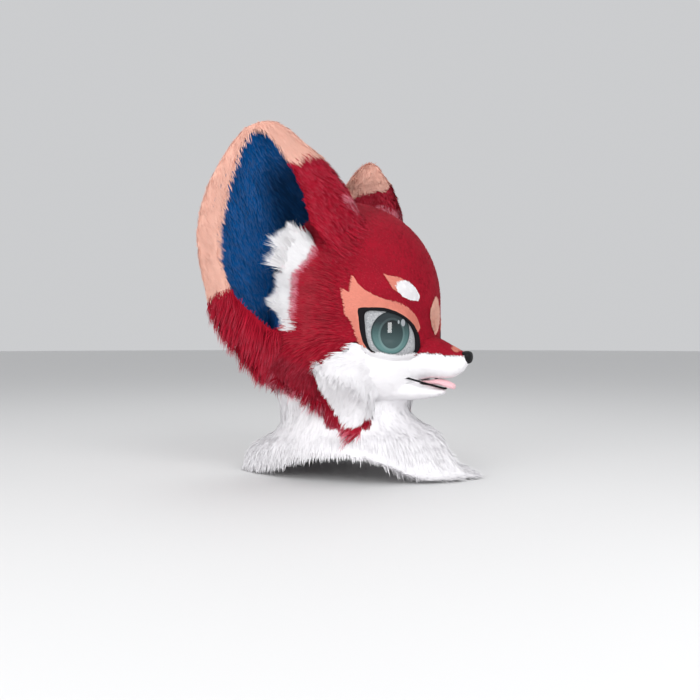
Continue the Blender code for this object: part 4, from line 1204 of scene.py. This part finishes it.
def dressed(coat, materials, trees, every, soft):
    """One coat as a piece: the skins of its solids and the strands on them."""
    rng = np.random.default_rng(sum(map(ord, coat.name)))
    parts = []
    for node in coat.nodes:
        skin = skin_of(node, coat, trees, every, soft)
        if coat.skin != "none":
            parts.append(skin_part(coat, skin))
        parts.append(strands(coat, skin, rng))
    piece = piece_from(coat.name, parts, materials[coat.colour])
    if coat.skin == "own":
        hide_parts(*coat.nodes)
    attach(piece, "root")
    return piece


def stand_in(piece, slot, *nodes):
    """A piece that shows in the place of CAD nodes, which it hides. The slot is not used."""
    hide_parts(*nodes)
    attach(piece, "root")


def bridged(bm, first, second):
    """Joins two rings of points with faces."""
    count = len(first)
    for i in range(count):
        bm.faces.new((first[i], first[(i + 1) % count], second[(i + 1) % count], second[i]))


def eye_band(bm, outlines, lifts):
    """A closed band round the eye, through rows that each follow an outline at a lift."""
    rows = []
    for outline, lift in zip(outlines, lifts):
        rows.append([bm.verts.new(skull_at(azimuth, height, lift)) for azimuth, height in outline])
    for first, second in zip(rows, rows[1:] + rows[:1]):
        bridged(bm, first, second)


def length_property(name, description, default):
    return FloatProperty(name=name, description=description, default=default, unit="LENGTH")


def colour_property(name, default):
    description = f"{name} of the head"
    return FloatVectorProperty(
        name=name, description=description, subtype="COLOR", default=default, min=0, max=1
    )


class HeadSettings(bpy.types.PropertyGroup):
    """Sizes of the fur and the eyes."""

    density: FloatProperty(
        name="Fur density", description="Share of the full count of strands", default=1.0, min=0.05, max=1.5
    )
    eye_sink: length_property("Eye depth", "How deep the eye lies in its rim", 0.0030)
    rim_height: length_property("Rim height", "How far the rim stands out", 0.0010)


class ColourSettings(bpy.types.PropertyGroup):
    """Colours of the head."""

    red: colour_property("Red fur", (0.47, 0.006, 0.027))
    white: colour_property("White fur", (0.87, 0.855, 0.875))
    peach: colour_property("Peach fur", (0.86, 0.50, 0.40))
    salmon: colour_property("Salmon fur", (0.78, 0.27, 0.20))
    blue: colour_property("Blue lining", (0.0005, 0.090, 0.32))
    tuft_root: colour_property("Roots of the ear tufts", (0.85, 0.25, 0.34))
    black: colour_property("Black trim", (0.007, 0.006, 0.008))
    tongue: colour_property("Tongue", (0.86, 0.50, 0.54))
    silver: colour_property("Silver of the eye", (0.31, 0.325, 0.35))
    iris_top: colour_property("Top of the iris", (0.018, 0.026, 0.030))
    iris_low: colour_property("Foot of the iris", (0.095, 0.20, 0.195))


class StageSettings(bpy.types.PropertyGroup):
    """The camera, the floor and the lights."""

    azimuth: FloatProperty(
        name="Azimuth", description="The camera's turn round the head, in degrees", default=-65.0
    )
    distance: length_property("Distance", "From the camera to the head's middle", 1.75)
    height: length_property("Height", "Of the camera over the floor", 0.2625)
    focus: FloatProperty(name="Lens", description="Focal length in millimetres", default=46.286)
    floor: length_property("Floor", "Radius of the floor", 14.0)


class COSTUME_OT_fur(bpy.types.Operator):
    """Covers the head, the ears, the ruff and the bib in fur"""

    bl_idname = "costume.fur"
    bl_label = "Fur"

    def execute(self, context):
        settings = context.scene.head_settings
        materials = coat_materials(context.scene.head_colours)
        trees, every = shared_trees()
        soft = melted_skin()
        for coat in COATS:
            count = int(coat.strands * settings.density)
            dressed(coat._replace(strands=count), materials, trees, every, soft)
        return {"FINISHED"}


def eye_finish(colours):
    """Silver glitter under a clear gloss."""
    eye = Finish("eye_silver", Roughness=0.32, Coat_Weight=0.6, Coat_Roughness=0.03)
    _, _, place = eye.map()
    flakes = eye.node("ShaderNodeTexVoronoi", {}, {"Vector": place, "Scale": 120.0}, output=1)
    bright = eye.node("ShaderNodeSeparateColor", {}, {0: flakes})
    dim, light = mixed(colours.silver, (0, 0, 0), 0.35), mixed(colours.silver, (1, 1, 1), 0.55)
    colour = eye.mixed(bright * 0.6, dim, light)
    return eye.feed("Base Color", colour).material


def iris_finish(colours):
    """A printed iris and pupil, dark above and teal below, with painted glints."""
    iris = Finish("iris_print", Roughness=0.5, Specular_IOR_Level=0.1, Coat_Weight=0.5, Coat_Roughness=0.02)
    across, up, place = iris.map()

    def oval(centre_x, centre_y, half_x, half_y):
        dx, dy = (across - centre_x) / half_x, (up - centre_y) / half_y
        return (dx * dx + dy * dy) ** 0.5

    radius = oval(0.5, 0.5, 0.5, 0.5)
    pupil = oval(0.51, 0.47, 0.29, 0.33)
    rays = iris.node("ShaderNodeTexNoise", {}, {"Vector": place, "Scale": 26.0, "Detail": 3.0})
    shade = ((up - 0.18) * 1.7 + rays * 0.16 - 0.08).clamped()
    colour = iris.mixed(shade, colours.iris_low, colours.iris_top)
    night = darker(colours.iris_top, 0.45)
    pale = mixed(colours.iris_low, (0.5, 0.5, 0.5), 0.25)
    colour = iris.mixed(radius.below(0.93, 0.06) * 0.45 + 0.55, night, colour)
    colour = iris.mixed(pupil.below(1.16, 0.03) * 0.35 * (1 - shade * 0.7), colour, pale)
    dusk = iris.mixed(((up - 0.3) * 2.2).clamped(), mixed(colours.iris_top, colours.iris_low, 0.25), night)
    colour = iris.mixed(pupil.below(1.0, 0.05), colour, dusk)
    for x, y, half_x, half_y in ((0.80, 0.74, 0.058, 0.085), (0.675, 0.755, 0.024, 0.045)):
        glint = oval(x, y, half_x, half_y).below(1.0, 0.12)
        colour = iris.mixed(glint, colour, (0.30, 0.32, 0.34))
    return iris.feed("Base Color", colour).material


def domed(name, outline, lift, dome, span, material, side):
    """A filled disc on the skull inside an outline, rings of it raised to a dome, with its own map."""
    middle = outline.mean(axis=0)
    bm = bmesh.new()
    layer = bm.loops.layers.uv.new("OFBake")
    count = len(outline)
    spots, loops = {}, []
    for ring in range(DOME_RINGS):
        share = 1 - ring / DOME_RINGS
        row = []
        for azimuth, height in middle + (outline - middle) * share:
            raised = lift + dome * (1 - share**2)
            place = skull_at(azimuth, height, raised)
            vert = bm.verts.new((place.x * side, place.y, place.z))
            spots[vert] = (azimuth, height)
            row.append(vert)
        loops.append(row)
    place = skull_at(*middle, lift + dome)
    heart = bm.verts.new((place.x * side, place.y, place.z))
    spots[heart] = tuple(middle)
    for first, second in zip(loops, loops[1:]):
        bridged(bm, first, second)
    for i in range(count):
        bm.faces.new((loops[-1][i], loops[-1][(i + 1) % count], heart))
    (low_a, low_z), (high_a, high_z) = span
    for face in bm.faces:
        for loop in face.loops:
            azimuth, height = spots[loop.vert]
            loop[layer].uv = ((high_a - azimuth) / (high_a - low_a), (height - low_z) / (high_z - low_z))
    bm.normal_update()
    if sum(face.normal.dot(face.calc_center_median() - SKULL_AT) for face in bm.faces) < 0:
        bmesh.ops.reverse_faces(bm, faces=bm.faces)
    return from_bmesh(bm, name, material, turned=True)


class COSTUME_OT_eyes(bpy.types.Operator):
    """Makes the black rims, the silver plates and the printed irises"""

    bl_idname = "costume.eyes"
    bl_label = "Eyes"

    def execute(self, context):
        settings, colours = context.scene.head_settings, context.scene.head_colours
        silver, printed = eye_finish(colours), iris_finish(colours)
        felt = Finish("black_felt", Base_Color=(*colours.black, 1.0), Roughness=0.85, Specular_IOR_Level=0.15)
        grain = felt.node("ShaderNodeTexNoise", {}, {"Scale": 900.0, "Detail": 2.0})
        felt.bump(grain, 0.3, 0.0004)
        edge, inner = rounded(EYE_EDGE, 96), rounded(EYE_INNER, 96)
        turns = np.linspace(0, 2 * math.pi, 72, endpoint=False)
        iris_edge = IRIS_AT + np.multiply(IRIS_HALF, np.stack([np.cos(turns), np.sin(turns)], axis=1))
        inside = inner.mean(axis=0) + (inner - inner.mean(axis=0)) * PLATE_INSET
        foot = sorted((across, up) for across, up in inside if up < LOWER_EDGE_TOP)
        low = np.interp(iris_edge[:, 0], *zip(*foot))
        iris_edge[:, 1] = np.maximum(iris_edge[:, 1], low)
        for side_name, side in SIDES:
            bm = bmesh.new()
            middle = (edge + inner) / 2
            top = settings.rim_height
            lifts = (RIM_FOOT, top - 0.0012, top, top - 0.0008, RIM_FOOT)
            eye_band(bm, (edge, edge, middle, inner, inner), lifts)
            for vert in bm.verts:
                vert.co.x *= side
            rim = from_bmesh(bm, f"eye_rim_felt_{side_name}", felt.material)
            stand_in(rim, "black_trim", f"eye_rim_{side_name}")
            depth = -settings.eye_sink
            plate = domed(f"eye_silver_{side_name}", inner, depth - 0.001, 0.0008, EYE_SPAN, silver, side)
            stand_in(plate, "eye_plate", f"eye_{side_name}")
            disc = domed(f"iris_print_{side_name}", iris_edge, depth, 0.0012, IRIS_SPAN, printed, side)
            stand_in(disc, "iris", f"iris_{side_name}")
        return {"FINISHED"}


class COSTUME_OT_nose_and_mouth(bpy.types.Operator):
    """Makes the nose, the tongue and the black lip"""

    bl_idname = "costume.nose_and_mouth"
    bl_label = "Nose and mouth"

    def execute(self, context):
        colours = context.scene.head_colours
        night = (*darker(colours.black, 0.6), 1.0)
        leather = Finish("nose_vinyl", Base_Color=night, Roughness=0.5, Specular_IOR_Level=0.2)
        grain = leather.node("ShaderNodeTexVoronoi", {}, {"Scale": 900.0})
        leather.bump(grain, 0.25, 0.0003)
        low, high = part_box("nose")
        bm = bmesh.new()
        bmesh.ops.create_uvsphere(bm, u_segments=40, v_segments=24, radius=1.0)
        middle, half = (low + high) / 2, (high - low) / 2
        for vert in bm.verts:
            x, y, z = (math.copysign(abs(part) ** NOSE_POWER, part) for part in vert.co)
            pinch = 1 - NOSE_PINCH * max(0.0, -z)
            back = NOSE_FALL * max(0.0, -z) * max(0.0, y + 0.4)
            vert.co = middle + Vector((x * half.x * pinch, (y - back) * half.y, z * half.z))
        nose = from_bmesh(bm, "nose_vinyl", leather.material)
        stand_in(nose, "nose", "nose")
        fleece = Finish("tongue_fleece", Base_Color=(*colours.tongue, 1.0), Roughness=0.8, Sheen_Weight=0.4)
        nap = fleece.node("ShaderNodeTexNoise", {}, {"Scale": 1200.0, "Detail": 3.0})
        fleece.bump(nap, 0.35, 0.0004)
        felt = bpy.data.materials["black_felt"]
        cloths = (("tongue", 10, fleece.material, "tongue"), ("lip_line", 3, felt, "black_trim"))
        for node, rounds, material, slot in cloths:
            bm = fine_copy(node, 0.006)
            smoothed(bm, rounds, False)
            if node == "tongue":
                for vert in bm.verts:
                    swell = TONGUE_SWELL * float(ease(np.array((-vert.co.y - 0.130) / 0.035)))
                    vert.co.z += swell * (vert.co.z - TONGUE_HEIGHT)
            piece = from_bmesh(bm, node + "_cloth", material)
            stand_in(piece, slot, node)
        return {"FINISHED"}


class COSTUME_OT_stage(bpy.types.Operator):
    """Makes the floor, the lights and the camera"""

    bl_idname = "costume.stage"
    bl_label = "Stage"

    def execute(self, context):
        stage = context.scene.stage_settings
        pale = Finish("pale_floor", Roughness=0.7)
        cloudy = pale.node("ShaderNodeTexNoise", {}, {"Scale": 3.0, "Detail": 2.0})
        pale.feed("Base Color", pale.mixed(cloudy * 0.3, (0.70, 0.70, 0.70), (0.75, 0.75, 0.75)))
        bm = bmesh.new()
        bmesh.ops.create_circle(bm, cap_ends=True, segments=64, radius=stage.floor)
        floor = from_bmesh(bm, "floor", pale.material, smooth=False)
        for name, place, size, power in (
            ("key", (-1.5, -1.7, 1.6), 1.4, 31.0),
            ("window", (-0.654, -1.50, 0.247), 0.19, 2.6),
            ("fill", (-2.2, 0.5, 0.6), 1.2, 19.0),
            ("top", (0.3, 0.4, 2.6), 1.6, 18.0),
        ):
            light = bpy.data.lights.new(name, "AREA")
            light.energy = power
            light.size = size
            lamp = bpy.data.objects.new(name, light)
            lamp.location = place
            lamp.rotation_euler = (LAMP_AIM - Vector(place)).to_track_quat("-Z", "Y").to_euler()
            context.scene.collection.objects.link(lamp)
        world = bpy.data.worlds.new("soft_room")
        world.use_nodes = True
        glow = world.node_tree.nodes["Background"].inputs
        glow["Color"].default_value = ROOM_COLOUR
        glow["Strength"].default_value = ROOM_LIGHT
        context.scene.world = world
        context.scene.view_settings.view_transform = "Standard"
        turn = math.radians(stage.azimuth)
        camera = bpy.data.objects.new("camera", bpy.data.cameras.new("camera"))
        camera.data.sensor_width = 36.0
        camera.data.lens = stage.focus
        away = stage.distance
        camera.location = (math.sin(turn) * away, AIM_Y - math.cos(turn) * away, stage.height)
        ahead = Vector((-math.sin(turn), math.cos(turn), AIM_TILT))
        camera.rotation_euler = ahead.to_track_quat("-Z", "Y").to_euler()
        context.scene.collection.objects.link(camera)
        context.scene.camera = camera
        return {"FINISHED"}


class COSTUME_PT_panel(bpy.types.Panel):
    """Lists the pieces and their settings"""

    bl_label = "Costume head"
    bl_space_type = "VIEW_3D"
    bl_region_type = "UI"
    bl_category = "Costume"

    def draw(self, context):
        scene = context.scene
        for group in (scene.head_settings, scene.head_colours, scene.stage_settings):
            column = self.layout.column(align=True)
            for name in group.__annotations__:
                column.prop(group, name)
        for operator in OPERATORS:
            self.layout.operator(operator.bl_idname)


OPERATORS = (COSTUME_OT_stage, COSTUME_OT_eyes, COSTUME_OT_nose_and_mouth, COSTUME_OT_fur)
GROUPS = {"head_settings": HeadSettings, "head_colours": ColourSettings, "stage_settings": StageSettings}


def register():
    for cls in (*GROUPS.values(), *OPERATORS, COSTUME_PT_panel):
        bpy.utils.register_class(cls)
    for name, group in GROUPS.items():
        setattr(bpy.types.Scene, name, PointerProperty(type=group))


def unregister():
    for name in GROUPS:
        delattr(bpy.types.Scene, name)
    for cls in (COSTUME_PT_panel, *reversed(OPERATORS), *GROUPS.values()):
        bpy.utils.unregister_class(cls)


def main():
    register()
    bpy.ops.costume.stage()
    bpy.ops.costume.eyes()
    bpy.ops.costume.nose_and_mouth()
    bpy.ops.costume.fur()


if __name__ == "__main__":
    main()
